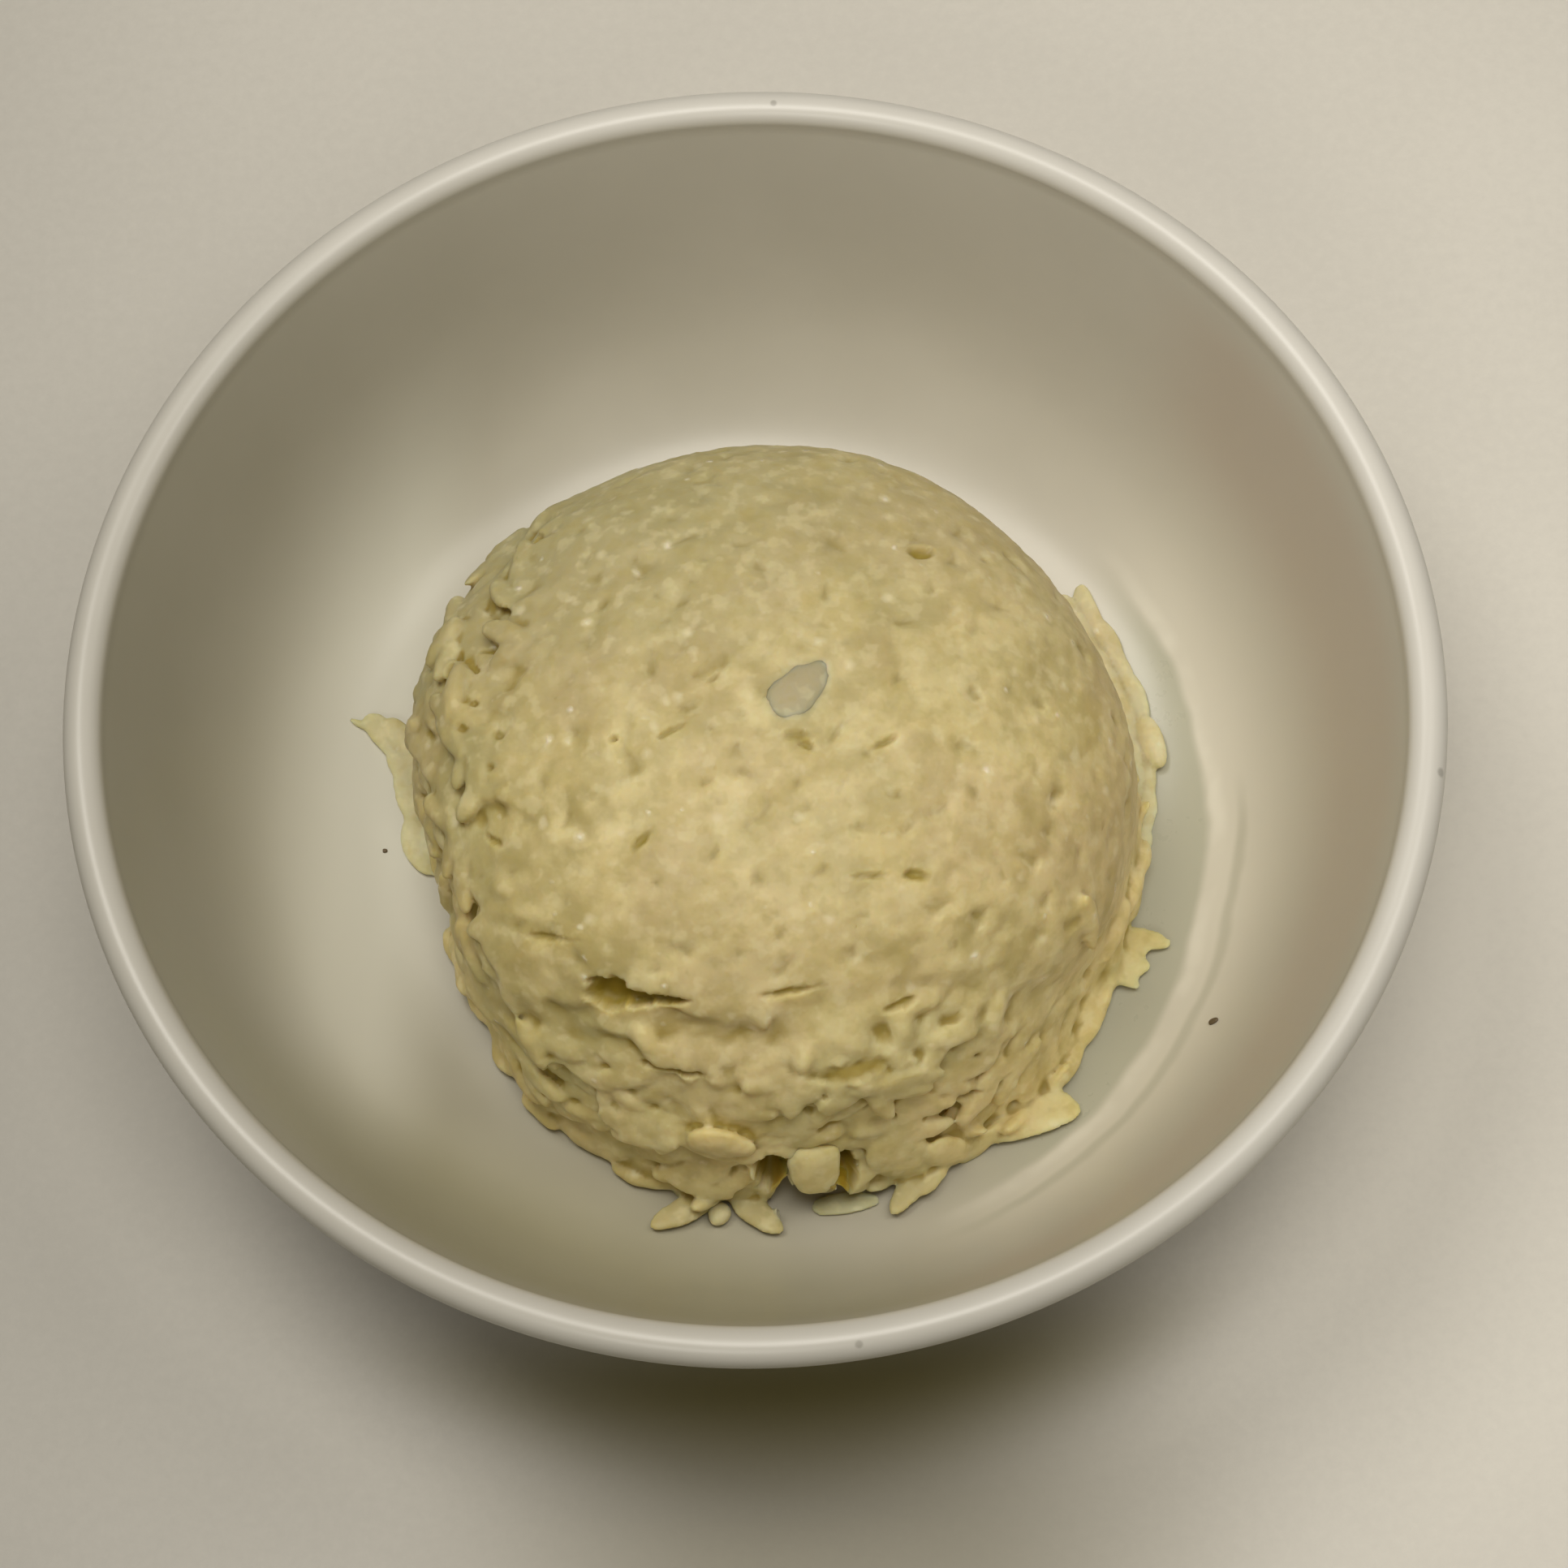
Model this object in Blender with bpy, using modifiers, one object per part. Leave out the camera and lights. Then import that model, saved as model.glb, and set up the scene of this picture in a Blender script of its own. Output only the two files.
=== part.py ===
"""A moulded mound of plain cooked white rice in its round, white-glazed bowl.

Frame: metres, +Z up, origin on the bowl's axis at the bottom of its foot ring,
with the mound's slumped, rough side facing -Y.
"""

import math

import bmesh
import bpy
from mathutils import Vector, noise

# ---------------------------------------------------------------- driving sizes (metres)
BOWL_RADIUS = 0.080          # outermost edge of the rim
BOWL_HEIGHT = 0.053          # foot to top of rim
LIP_WIDTH = 0.0046           # rounded rim, inside edge to outside edge
WALL = 0.0036                # wall thickness below the rim
FLOOR_THICKNESS = 0.0042     # glazed floor, under the rice
FLAT_FLOOR_RADIUS = 0.045    # level part of the inside floor
WALL_LEAN = math.radians(71) # slope of the inside wall where it meets the rim
FLOOR_SWEEP = 0.021          # how far the floor runs on before it turns up
RIM_SWEEP = 0.024            # how far the rim's slope runs down before it turns in
FOOT_RADIUS = 0.0395         # outside of the foot ring
FOOT_WIDTH = 0.0042          # width of the ring that stands on the table
FOOT_ROUNDING = 0.0008       # its two lower edges
RECESS_DEPTH = 0.0034        # hollow inside the foot ring

BOWL_SEGMENTS = 64
WALL_POINTS = 13
LIP_POINTS = 7

RICE_GAP = 0.0003            # between the rice and the glazed floor
RICE_CENTRE = (0.0026, -0.0057)
RICE_HEIGHT = 0.0425
BULGE_RADIUS = 0.0437        # widest round of the mound
BULGE_HEIGHT = 0.017         # how far above the floor that is
DOME_EXPONENT = 2.3          # 2 is an ellipse, more is flatter on top
BASE_TUCK = 0.045            # how little the mound narrows under its bulge
BASE_OVERSHOOT = 1.5         # how far the uncut form runs on below the floor
DOME_LEAN = (-0.0024, 0.0065) # how far the top sits to one side of the base

SLUMP_PLANE = 0.0135         # distance of the slump's crack in front of the mound's centre
SLUMP_TILT = math.radians(67)
SLUMP_DROP = 0.0012          # how far the slumped side sinks in below the crack
SLUMP_FADE = 0.0015
SKIRT_HEIGHT = 0.007         # loose grains spread round the base up to here
SKIRT_SPREAD = 0.0028
LUMP_SIZE = 0.017            # broad unevenness of the pressed dome
LUMP_DEPTH = 0.0007
GRAIN_SIZE = 0.0068          # bumps one grain across
GRAIN_DEPTH_TOP = 0.0002     # pressed smooth on the dome
GRAIN_DEPTH_SIDE = 0.0011    # rough on the slumped side and at the base
SIDE_BULGES = (              # direction in degrees, half-width in degrees, extra reach
    (150.0, 17.0, 0.0032),
    (185.0, 13.0, -0.0022),
    (236.0, 18.0, 0.0016),
    (2.0, 14.0, 0.0012),
    (338.0, 13.0, -0.0010),
)


# ---------------------------------------------------------------- scene
def clear_scene():
    for obj in list(bpy.data.objects):
        bpy.data.objects.remove(obj, do_unlink=True)


def new_collection(name):
    collection = bpy.data.collections.new(name)
    bpy.context.scene.collection.children.link(collection)
    return collection


def principled(name, colour, roughness):
    material = bpy.data.materials.new(name)
    material.use_nodes = True
    shader = material.node_tree.nodes["Principled BSDF"]
    shader.inputs["Base Color"].default_value = (*colour, 1.0)
    shader.inputs["Roughness"].default_value = roughness
    shader.inputs["Metallic"].default_value = 0.0
    return material


def white_glaze():
    return principled("white_glaze", (0.72, 0.69, 0.60), 0.25)


def cooked_rice():
    return principled("cooked_rice", (0.73, 0.64, 0.42), 0.45)


# ---------------------------------------------------------------- bowl
def bezier(p0, p1, p2, p3, count):
    """Points along one cubic curve, both ends included."""
    points = []
    for i in range(count):
        t = i / (count - 1)
        s = 1.0 - t
        weights = (s ** 3, 3 * s * s * t, 3 * s * t * t, t ** 3)
        points.append(sum((w * p for w, p in zip(weights, (p0, p1, p2, p3))), Vector((0, 0))))
    return points


def inside_wall():
    """The glazed inside, from the level floor up to the rim's inner edge."""
    floor_z = BOWL_HEIGHT - bowl_depth()
    start = Vector((FLAT_FLOOR_RADIUS, floor_z))
    end = Vector((BOWL_RADIUS - LIP_WIDTH, BOWL_HEIGHT - LIP_WIDTH / 2))
    slope = Vector((math.cos(WALL_LEAN), math.sin(WALL_LEAN)))
    return bezier(start, start + Vector((FLOOR_SWEEP, 0)), end - slope * RIM_SWEEP, end, WALL_POINTS)


def bowl_depth():
    return BOWL_HEIGHT - RECESS_DEPTH - FLOOR_THICKNESS


def lip():
    """Half a turn over the rim, from its inside edge to its outside edge."""
    radius = LIP_WIDTH / 2
    centre = Vector((BOWL_RADIUS - radius, BOWL_HEIGHT - radius))
    turns = [math.pi * (1 - i / (LIP_POINTS - 1)) for i in range(LIP_POINTS)]
    return [centre + radius * Vector((math.cos(a), math.sin(a))) for a in turns]


def outside_wall(inside):
    """The inside wall moved out by its thickness, read from the rim down to the foot."""
    points = []
    for before, here, after in zip(inside, inside[1:], inside[2:]):
        along = (after - before).normalized()
        points.append(here + WALL * Vector((along.y, -along.x)))
    return [p for p in reversed(points) if p.x > FOOT_RADIUS + WALL]


def foot_ring():
    """Down the outside of the ring, under it, and up into the hollow it stands round."""
    outer = FOOT_RADIUS
    inner = FOOT_RADIUS - FOOT_WIDTH
    edge = FOOT_ROUNDING
    underside = RECESS_DEPTH
    return [
        Vector((outer + edge, underside + edge)),
        Vector((outer, underside - edge)),
        Vector((outer, edge)),
        Vector((outer - edge, 0)),
        Vector((inner + edge, 0)),
        Vector((inner, edge)),
        Vector((inner - edge, underside)),
        Vector((0, underside)),
    ]


def floor_rise(radius):
    """How far the inside of the bowl has risen above its level floor at a radius."""
    inside = inside_wall()
    for low, high in zip(inside, inside[1:]):
        if low.x <= radius <= high.x:
            share = (radius - low.x) / (high.x - low.x)
            return low.y + share * (high.y - low.y) - inside[0].y
    return 0.0


def bowl_profile():
    inside = inside_wall()
    centre = Vector((0, inside[0].y))
    return [centre, centre + Vector((FLAT_FLOOR_RADIUS / 2, 0))] + inside + lip()[1:] + outside_wall(
        inside) + foot_ring()


def make_bowl(collection):
    profile = bowl_profile()
    mesh = bpy.data.meshes.new("bowl")
    edges = [(i, i + 1) for i in range(len(profile) - 1)]
    mesh.from_pydata([(p.x, 0.0, p.y) for p in profile], edges, [])
    bowl = bpy.data.objects.new("bowl", mesh)
    collection.objects.link(bowl)
    screw = bowl.modifiers.new("turned", "SCREW")
    screw.axis = "Z"
    screw.angle = math.tau
    screw.steps = BOWL_SEGMENTS
    screw.render_steps = BOWL_SEGMENTS
    screw.use_merge_vertices = True
    screw.merge_threshold = 0.00005
    screw.use_smooth_shade = True
    mesh.materials.append(white_glaze())
    return bowl


# ---------------------------------------------------------------- rice
def smooth_step(value):
    value = min(1.0, max(0.0, value))
    return value * value * (3 - 2 * value)


def power(value, exponent):
    return max(value, 0.0) ** exponent


def mound_point(direction):
    """Where a direction from the middle of a unit ball lands on the plain mound."""
    level = math.hypot(direction.x, direction.y)
    roundness = 2.0 / DOME_EXPONENT
    if direction.z >= 0:
        radius = BULGE_RADIUS * power(level, roundness)
        height = BULGE_HEIGHT + (RICE_HEIGHT - BULGE_HEIGHT) * power(direction.z, roundness)
    else:
        radius = BULGE_RADIUS * power(level, BASE_TUCK)
        height = BULGE_HEIGHT * (1 + BASE_OVERSHOOT * direction.z)
    if level < 1e-6:
        return Vector((0, 0, height))
    return Vector((direction.x / level * radius, direction.y / level * radius, height))


def slump_amount(point):
    """0 on the pressed dome, 1 on the side that has slumped towards -Y."""
    across = -point.y * math.sin(SLUMP_TILT) - point.z * math.cos(SLUMP_TILT)
    waver = 0.0022 * noise.noise(Vector((point.x, 0, 0)) / LUMP_SIZE)
    return smooth_step((across - SLUMP_PLANE - waver) / SLUMP_FADE + 0.5)


def side_bulge(point):
    """Extra reach of the sides in the few directions where they stick out or draw in."""
    facing = math.degrees(math.atan2(point.y, point.x)) % 360
    low = smooth_step(1.2 - point.z / (2 * BULGE_HEIGHT))
    total = 0.0
    for direction, half_width, reach in SIDE_BULGES:
        off = abs((facing - direction + 180) % 360 - 180)
        total += reach * smooth_step(1 - off / (2 * half_width))
    return total * low


def skirt(point):
    """Loose grains round the base, more in some places than in others."""
    low = smooth_step(1 - point.z / SKIRT_HEIGHT)
    patchy = 0.5 + 0.5 * noise.noise(Vector((point.x, point.y, 0)) / (2 * GRAIN_SIZE) + Vector((3, 1, 7)))
    return SKIRT_SPREAD * low * patchy


def uneven(point, outward):
    """The mound's real surface: lumps, grain-sized bumps, the slump and the loose skirt."""
    slump = slump_amount(point)
    rough = max(slump, smooth_step(1 - point.z / (1.5 * BULGE_HEIGHT)))
    lumps = LUMP_DEPTH * noise.noise(point / LUMP_SIZE)
    depth = GRAIN_DEPTH_TOP + (GRAIN_DEPTH_SIDE - GRAIN_DEPTH_TOP) * rough
    grains = depth * noise.noise(point / GRAIN_SIZE * 1.7)
    level = Vector((outward.x, outward.y, 0))
    moved = point + outward * (lumps + grains - SLUMP_DROP * slump * smooth_step(point.z / RICE_HEIGHT * 2))
    moved += level * (skirt(point) + side_bulge(point))
    return moved + Vector((*DOME_LEAN, 0)) * (point.z / RICE_HEIGHT)


def follow_floor(point):
    """Lift the outermost rice where the bowl's floor begins to turn up under it."""
    reach = math.hypot(point.x + RICE_CENTRE[0], point.y + RICE_CENTRE[1])
    near = smooth_step(1 - point.z / BULGE_HEIGHT)
    return point + Vector((0, 0, floor_rise(reach) * near))


def make_rice(collection, floor_z):
    mesh = bpy.data.meshes.new("rice")
    form = bmesh.new()
    bmesh.ops.create_icosphere(form, subdivisions=5, radius=1.0)
    for vertex in form.verts:
        direction = vertex.co.normalized()
        outward = Vector((direction.x, direction.y, max(direction.z, 0))).normalized()
        vertex.co = uneven(mound_point(direction), outward)
    every = form.verts[:] + form.edges[:] + form.faces[:]
    cut = bmesh.ops.bisect_plane(
        form, geom=every, dist=1e-6, plane_co=(0, 0, 0), plane_no=(0, 0, 1), clear_inner=True)
    for vertex in form.verts:
        vertex.co = follow_floor(vertex.co)
    rim = [item for item in cut["geom_cut"] if isinstance(item, bmesh.types.BMEdge)]
    bmesh.ops.contextual_create(form, geom=rim)
    bmesh.ops.triangulate(form, faces=[face for face in form.faces if len(face.verts) > 3])
    bmesh.ops.recalc_face_normals(form, faces=form.faces[:])
    bmesh.ops.translate(form, verts=form.verts[:], vec=(*RICE_CENTRE, floor_z + RICE_GAP))
    form.to_mesh(mesh)
    form.free()
    mesh.shade_smooth()
    mesh.set_sharp_from_angle(angle=math.radians(40))
    mesh.materials.append(cooked_rice())
    rice = bpy.data.objects.new("rice", mesh)
    collection.objects.link(rice)
    return rice


def main():
    clear_scene()
    parts = new_collection("bowl_of_white_rice")
    make_bowl(parts)
    make_rice(parts, BOWL_HEIGHT - bowl_depth())


main()
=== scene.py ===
# %% [markdown]
# # A mound of cooked white rice in its glazed bowl
#
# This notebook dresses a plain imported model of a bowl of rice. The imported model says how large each
# thing is and where it stands: a turned bowl, and one solid for the whole heap of rice. Each step
# below takes one real thing, such as the glaze, a grain or the crack where the heap has slumped,
# says what it looks like in a kitchen and how it comes about, and then builds it in Blender.

# %% Load the frame
import math
from itertools import product

import bpy
import numpy as np
from mathutils import Matrix, Vector, noise
from mathutils.bvhtree import BVHTree
from mathutils.kdtree import KDTree


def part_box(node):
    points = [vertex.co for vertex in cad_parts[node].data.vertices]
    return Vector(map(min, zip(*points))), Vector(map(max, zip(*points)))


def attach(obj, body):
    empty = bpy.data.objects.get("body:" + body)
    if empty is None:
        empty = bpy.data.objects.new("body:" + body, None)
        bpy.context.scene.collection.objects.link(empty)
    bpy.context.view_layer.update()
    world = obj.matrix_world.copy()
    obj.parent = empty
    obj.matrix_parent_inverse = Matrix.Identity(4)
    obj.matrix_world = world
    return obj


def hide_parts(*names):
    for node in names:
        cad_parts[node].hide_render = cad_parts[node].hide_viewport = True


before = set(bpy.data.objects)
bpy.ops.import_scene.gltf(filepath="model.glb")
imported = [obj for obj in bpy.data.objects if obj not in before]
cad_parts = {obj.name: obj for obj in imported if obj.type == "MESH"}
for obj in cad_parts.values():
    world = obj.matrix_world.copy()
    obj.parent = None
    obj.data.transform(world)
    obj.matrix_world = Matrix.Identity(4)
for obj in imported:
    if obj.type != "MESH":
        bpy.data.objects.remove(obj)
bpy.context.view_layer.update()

MM = 0.001
bowl_low, bowl_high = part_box("bowl")
rice_low, rice_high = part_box("rice")
print("bowl", [round(v / MM, 1) for v in bowl_high - bowl_low], "mm")
print("rice", [round(v / MM, 1) for v in rice_high - rice_low], "mm")

# %% [markdown]
# ## Camera
#
# Someone stands at the table and looks down into the bowl with a phone, a little tilted. A long lens
# from less than half a metre away keeps the round rim close to a plain ellipse. The camera is aimed
# at a point and then rolled about its own line of sight, which is easier to read than three Euler
# angles.

# %% Camera
HALF_LIP = 2.3 * MM
RIM_LEVEL = bowl_high.z - HALF_LIP
CAMERA_DISTANCE = 0.45
CAMERA_HEIGHT_ANGLE = math.radians(66.46)
CAMERA_AIM = Vector((2.8 * MM, -12.1 * MM, RIM_LEVEL))
CAMERA_ROLL = math.radians(-2.75)
LENS = 89.2
SENSOR_WIDTH = 36


def add_camera():
    camera = bpy.data.objects.new("camera", bpy.data.cameras.new("camera"))
    bpy.context.scene.collection.objects.link(camera)
    toward_viewer = Vector((0, -math.cos(CAMERA_HEIGHT_ANGLE), math.sin(CAMERA_HEIGHT_ANGLE)))
    camera.location = Vector((0, 0, RIM_LEVEL)) + toward_viewer * CAMERA_DISTANCE
    look = (CAMERA_AIM - camera.location).to_track_quat("-Z", "Y")
    roll = Matrix.Rotation(CAMERA_ROLL, 4, "Z").to_quaternion()
    camera.rotation_mode = "QUATERNION"
    camera.rotation_quaternion = look @ roll
    camera.data.lens = LENS
    camera.data.sensor_width = SENSOR_WIDTH
    camera.data.clip_start = 10 * MM
    camera.data.dof.use_dof = False
    bpy.context.scene.camera = camera
    return camera


camera = add_camera()
print("camera at", [round(v, 3) for v in camera.location])

# %% [markdown]
# ## Soft room light
#
# The bowl stands in a pale room under a wide light in the ceiling, with another behind it to the
# left and a weaker one in front, and a small lamp close by on the right. Light from straight above
# leaves the table under the overhanging wall of the bowl dark, and the steep walls of the bowl get
# little of it and look grey. Every lamp is a wide disc, so that every shadow is soft.

# %% Lights
LAMPS = (
    # name, place in metres, width, power in watts, colour
    ("ceiling", (0.04, -0.07, 1.00), 0.40, 3.25, (1.00, 0.965, 0.90)),
    ("room_back", (-0.31, 0.21, 0.92), 0.40, 2.90, (1.00, 0.965, 0.90)),
    ("room_front", (-0.15, -0.64, 0.74), 0.30, 1.05, (1.00, 0.970, 0.90)),
    ("lamp_right", (0.17, 0.02, 0.40), 0.16, 0.28, (1.00, 0.960, 0.89)),
)
LIGHTS_AIM = Vector((0, 0, 20 * MM))
ROOM_COLOUR = (1.0, 0.97, 0.92, 1)
ROOM_STRENGTH = 0.03


def add_lamp(name, place, width, power, colour):
    light = bpy.data.lights.new(name, "AREA")
    light.shape = "DISK"
    light.size = width
    light.energy = power
    light.color = colour
    lamp = bpy.data.objects.new(name, light)
    lamp.location = place
    lamp.rotation_mode = "QUATERNION"
    lamp.rotation_quaternion = (LIGHTS_AIM - lamp.location).to_track_quat("-Z", "Y")
    bpy.context.scene.collection.objects.link(lamp)
    return lamp


lamps = [add_lamp(*lamp) for lamp in LAMPS]
world = bpy.data.worlds.new("room")
world.use_nodes = True
backdrop = world.node_tree.nodes["Background"]
backdrop.inputs["Color"].default_value = ROOM_COLOUR
backdrop.inputs["Strength"].default_value = ROOM_STRENGTH
bpy.context.scene.world = world
bpy.context.scene.view_settings.view_transform = "Standard"
print(len(lamps), "lamps,", sum(lamp.data.energy for lamp in lamps), "W")

# %% [markdown]
# ## Writing finishes as sums
#
# A finish is a small network of nodes. Wiring it by hand takes many lines, and the idea gets lost in
# them. Here a socket is wrapped in a small class that knows plus, minus and times, so a mask can be
# written as `1 - spots * 0.5`, and each operation adds its Math node. One method adds any other node.
# Colours are mixed with Mix nodes, as a Math node would turn them grey. A finish is then a first
# colour with others laid over it, each where its mask says and as strongly as it says.

# %% A socket that does sums


class Value:
    """A number, a colour or a vector in a finish, held as the socket that gives it."""

    def __init__(self, finish, socket):
        self.finish = finish
        self.socket = socket

    def maths(self, operation, first, second):
        return self.finish.node("ShaderNodeMath", {"operation": operation}, {0: first, 1: second})

    def __add__(self, other):
        return self.maths("ADD", self, other)

    def __radd__(self, other):
        return self.maths("ADD", other, self)

    def __sub__(self, other):
        return self.maths("SUBTRACT", self, other)

    def __rsub__(self, other):
        return self.maths("SUBTRACT", other, self)

    def __mul__(self, other):
        return self.maths("MULTIPLY", self, other)

    def __rmul__(self, other):
        return self.maths("MULTIPLY", other, self)

    def between(self, low, high):
        """0 below low, 1 above high and a smooth ramp from one to the other."""
        return self.finish.node(
            "ShaderNodeMapRange", {"interpolation_type": "SMOOTHSTEP"},
            {"Value": self, "From Min": low, "From Max": high})

    def band(self, start, full, fade, end):
        """1 from full to fade, with a ramp up to it from start and a ramp down from it to end."""
        return self.between(start, full) * (1 - self.between(fade, end))


# %% A material that takes them


class Finish:
    """A material on the Principled shader, with one method that adds any node to it."""

    def __init__(self, name):
        self.material = bpy.data.materials.new(name)
        self.material.use_nodes = True
        self.tree = self.material.node_tree
        self.shader = self.tree.nodes["Principled BSDF"]

    def node(self, kind, settings=None, sockets=None, out=0):
        node = self.tree.nodes.new(kind)
        for name, value in (settings or {}).items():
            setattr(node, name, value)
        for name, value in (sockets or {}).items():
            self.feed(node.inputs[name], value)
        return Value(self, node.outputs[out])

    def feed(self, socket, value):
        if isinstance(value, Value):
            self.tree.links.new(value.socket, socket)
        elif socket.type == "RGBA":
            socket.default_value = (*value, 1)
        else:
            socket.default_value = value

    def set(self, **inputs):
        """Feed the shader itself; coat_weight stands for its Coat Weight socket."""
        for name, value in inputs.items():
            self.feed(self.shader.inputs[name.replace("_", " ").title()], value)

    def here(self):
        """The place on the piece in metres."""
        return self.node("ShaderNodeTexCoord", out="Object")

    def grain(self, size, detail=2.0, roughness=0.5):
        """Soft noise from 0 to 1 whose blobs are about this many metres across."""
        return self.node(
            "ShaderNodeTexNoise", {},
            {"Vector": self.here(), "Scale": 1 / size, "Detail": detail, "Roughness": roughness})

    def stored(self, name):
        """A number stored at each point of the mesh."""
        return self.node("ShaderNodeAttribute", {"attribute_name": name}, out="Fac")

    def blend(self, share, first, second):
        mix = {"data_type": "RGBA"}
        return self.node("ShaderNodeMix", mix, {0: share, 6: first, 7: second}, out=2)

    def painted(self, colour, layers):
        """A colour with others laid over it in turn, each given with its share."""
        for share, over in layers:
            colour = self.blend(share, colour, over)
        return colour

    def vectors(self, operation, first, second, out="Value"):
        return self.node("ShaderNodeVectorMath", {"operation": operation}, {0: first, 1: second}, out)

    def distance(self, place):
        return self.vectors("DISTANCE", self.here(), place)

    def along(self, way):
        """How far the place lies in a direction, in metres."""
        return self.vectors("DOT_PRODUCT", self.here(), way)

    def part_of(self, vector, axis):
        return self.node("ShaderNodeSeparateXYZ", {}, {"Vector": vector}, out=axis)

    def bump(self, height, depth, strength=1.0):
        return self.node("ShaderNodeBump", {}, {"Height": height, "Distance": depth, "Strength": strength})


# %% [markdown]
# ## Table top
#
# The table is a pale laminate with a very fine, even speckle and a matt surface. Painted shade makes it
# duller on the left than on the right, and a painted shadow of the bowl darkens it in front, close
# under the wall of the bowl. It is only the floor of the scene, so one large square is enough.

# %% Table
TABLE = {
    # linear red, green and blue
    # light and lightest on the right, dull and dull, lighter on the left: painted shade across the table
    "light": (0.765, 0.725, 0.637),
    "lightest": (0.825, 0.784, 0.690),
    "dull": (0.420, 0.400, 0.350),
    "dull, lighter": (0.465, 0.443, 0.390),
    # painted shadows of the bowl on the table, in front of it and close under its wall
    "in front": (0.185, 0.160, 0.080),
    "under the wall": (0.205, 0.167, 0.020),
}
TABLE_HALF_WIDTH = 3.0


def table_finish():
    finish = Finish("pale_laminate")
    speckle = finish.grain(1.6 * MM, 4.0, 0.7)
    clouds = finish.grain(60 * MM, 2.0)
    # painted shade: the table is duller towards the left and front and lighter towards the right
    slope = finish.along((0.93, 0.36, 0.0)).between(-180 * MM, 100 * MM)
    tone = (speckle * 0.5 + clouds * 0.5).between(0.3, 0.7)
    light = finish.blend(tone, TABLE["light"], TABLE["lightest"])
    dull = finish.blend(tone, TABLE["dull"], TABLE["dull, lighter"])
    # painted shadow of the bowl in front of it, and a narrower painted shadow close under its wall
    painted_shadow_in_front = 1 - finish.distance((5 * MM, -95 * MM, 0.0)).between(10 * MM, 60 * MM)
    painted_shadow_under_wall = 1 - finish.distance((0.0, 0.0, 0.0)).between(69 * MM, 86 * MM)
    painted_shadow_under_wall *= finish.along((0.0, -1.0, 0.0)).between(56 * MM, 72 * MM)
    finish.set(
        base_color=finish.painted(finish.blend(slope, dull, light), [
            (painted_shadow_in_front * 0.58, TABLE["in front"]),
            (painted_shadow_under_wall * 0.85, TABLE["under the wall"]),
        ]),
        roughness=speckle * 0.12 + 0.55,
        normal=finish.bump(speckle, 0.05 * MM, 0.5))
    return finish.material


def make_table():
    mesh = bpy.data.meshes.new("table")
    reach = TABLE_HALF_WIDTH
    corners = [(-reach, -reach, 0), (reach, -reach, 0), (reach, reach, 0), (-reach, reach, 0)]
    mesh.from_pydata(corners, [], [(0, 1, 2, 3)])
    mesh.materials.append(table_finish())
    table = bpy.data.objects.new("table", mesh)
    bpy.context.scene.collection.objects.link(table)


make_table()
print("table", 2 * TABLE_HALF_WIDTH, "m wide")

# %% [markdown]
# ## The bowl's outline
#
# A glazed bowl is thrown on a wheel or pressed by a turning tool, so every cut through its axis is
# the same. Its inside runs level under the rice, sweeps up in one long curve and ends in a rounded
# lip. Its outside follows at the thickness of the wall and comes down to a low ring that it stands
# on. A Screw modifier could turn the outline. Here the rings of points are worked out with numpy,
# because the inside curve is needed again later, to rest grains on.

# %% Bowl outline
LIP_WIDTH = 2 * HALF_LIP
WALL = 3.6 * MM
RECESS_DEPTH = 3.4 * MM
FLOOR_THICKNESS = 4.2 * MM
FLOOR_LEVEL = RECESS_DEPTH + FLOOR_THICKNESS
FLAT_FLOOR_RADIUS = 45 * MM
WALL_LEAN = math.radians(71)
FLOOR_SWEEP = 21 * MM
RIM_SWEEP = 24 * MM
FOOT_RADIUS = 39.5 * MM
FOOT_WIDTH = 4.2 * MM
FOOT_ROUNDING = 0.9 * MM
FOOT_FILLET = 1.2 * MM
BOWL_RADIUS = bowl_high.x
BOWL_HEIGHT = bowl_high.z
# how finely each part of the outline is drawn, and the turned bowl
INSIDE_POINTS = 60
FLOOR_POINTS = 24
LIP_POINTS = 24
CORNER_POINTS = 6
BOWL_SEGMENTS = 256


def bezier(corners, count):
    t = np.linspace(0, 1, count)[:, None]
    p0, p1, p2, p3 = (np.array(p, float) for p in corners)
    return p0 * (1 - t) ** 3 + 3 * p1 * t * (1 - t) ** 2 + 3 * p2 * t ** 2 * (1 - t) + p3 * t ** 3


def arc(centre, radius, start, end, count):
    turns = np.radians(np.linspace(start, end, count))[:, None]
    return np.array(centre) + radius * np.hstack([np.cos(turns), np.sin(turns)])


def inside_curve(count):
    """The glazed inside, from the edge of the level floor to the lip, as radius and height."""
    start = np.array([FLAT_FLOOR_RADIUS, FLOOR_LEVEL])
    end = np.array([BOWL_RADIUS - LIP_WIDTH, BOWL_HEIGHT - HALF_LIP])
    slope = np.array([math.cos(WALL_LEAN), math.sin(WALL_LEAN)])
    return bezier([start, start + [FLOOR_SWEEP, 0], end - slope * RIM_SWEEP, end], count)


def foot_outline():
    inner = FOOT_RADIUS - FOOT_WIDTH
    edge, fillet, recess = FOOT_ROUNDING, FOOT_FILLET, RECESS_DEPTH
    under = np.linspace(inner - 3 * MM, 0, 8)
    return np.vstack([
        arc((FOOT_RADIUS + fillet, recess - fillet), fillet, 90, 180, CORNER_POINTS),
        arc((FOOT_RADIUS - edge, edge), edge, 0, -90, CORNER_POINTS),
        arc((inner + edge, edge), edge, -90, -180, CORNER_POINTS),
        arc((inner - fillet, recess - fillet), fillet, 0, 90, CORNER_POINTS),
        np.column_stack([under, np.full(len(under), recess)]),
    ])


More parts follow.
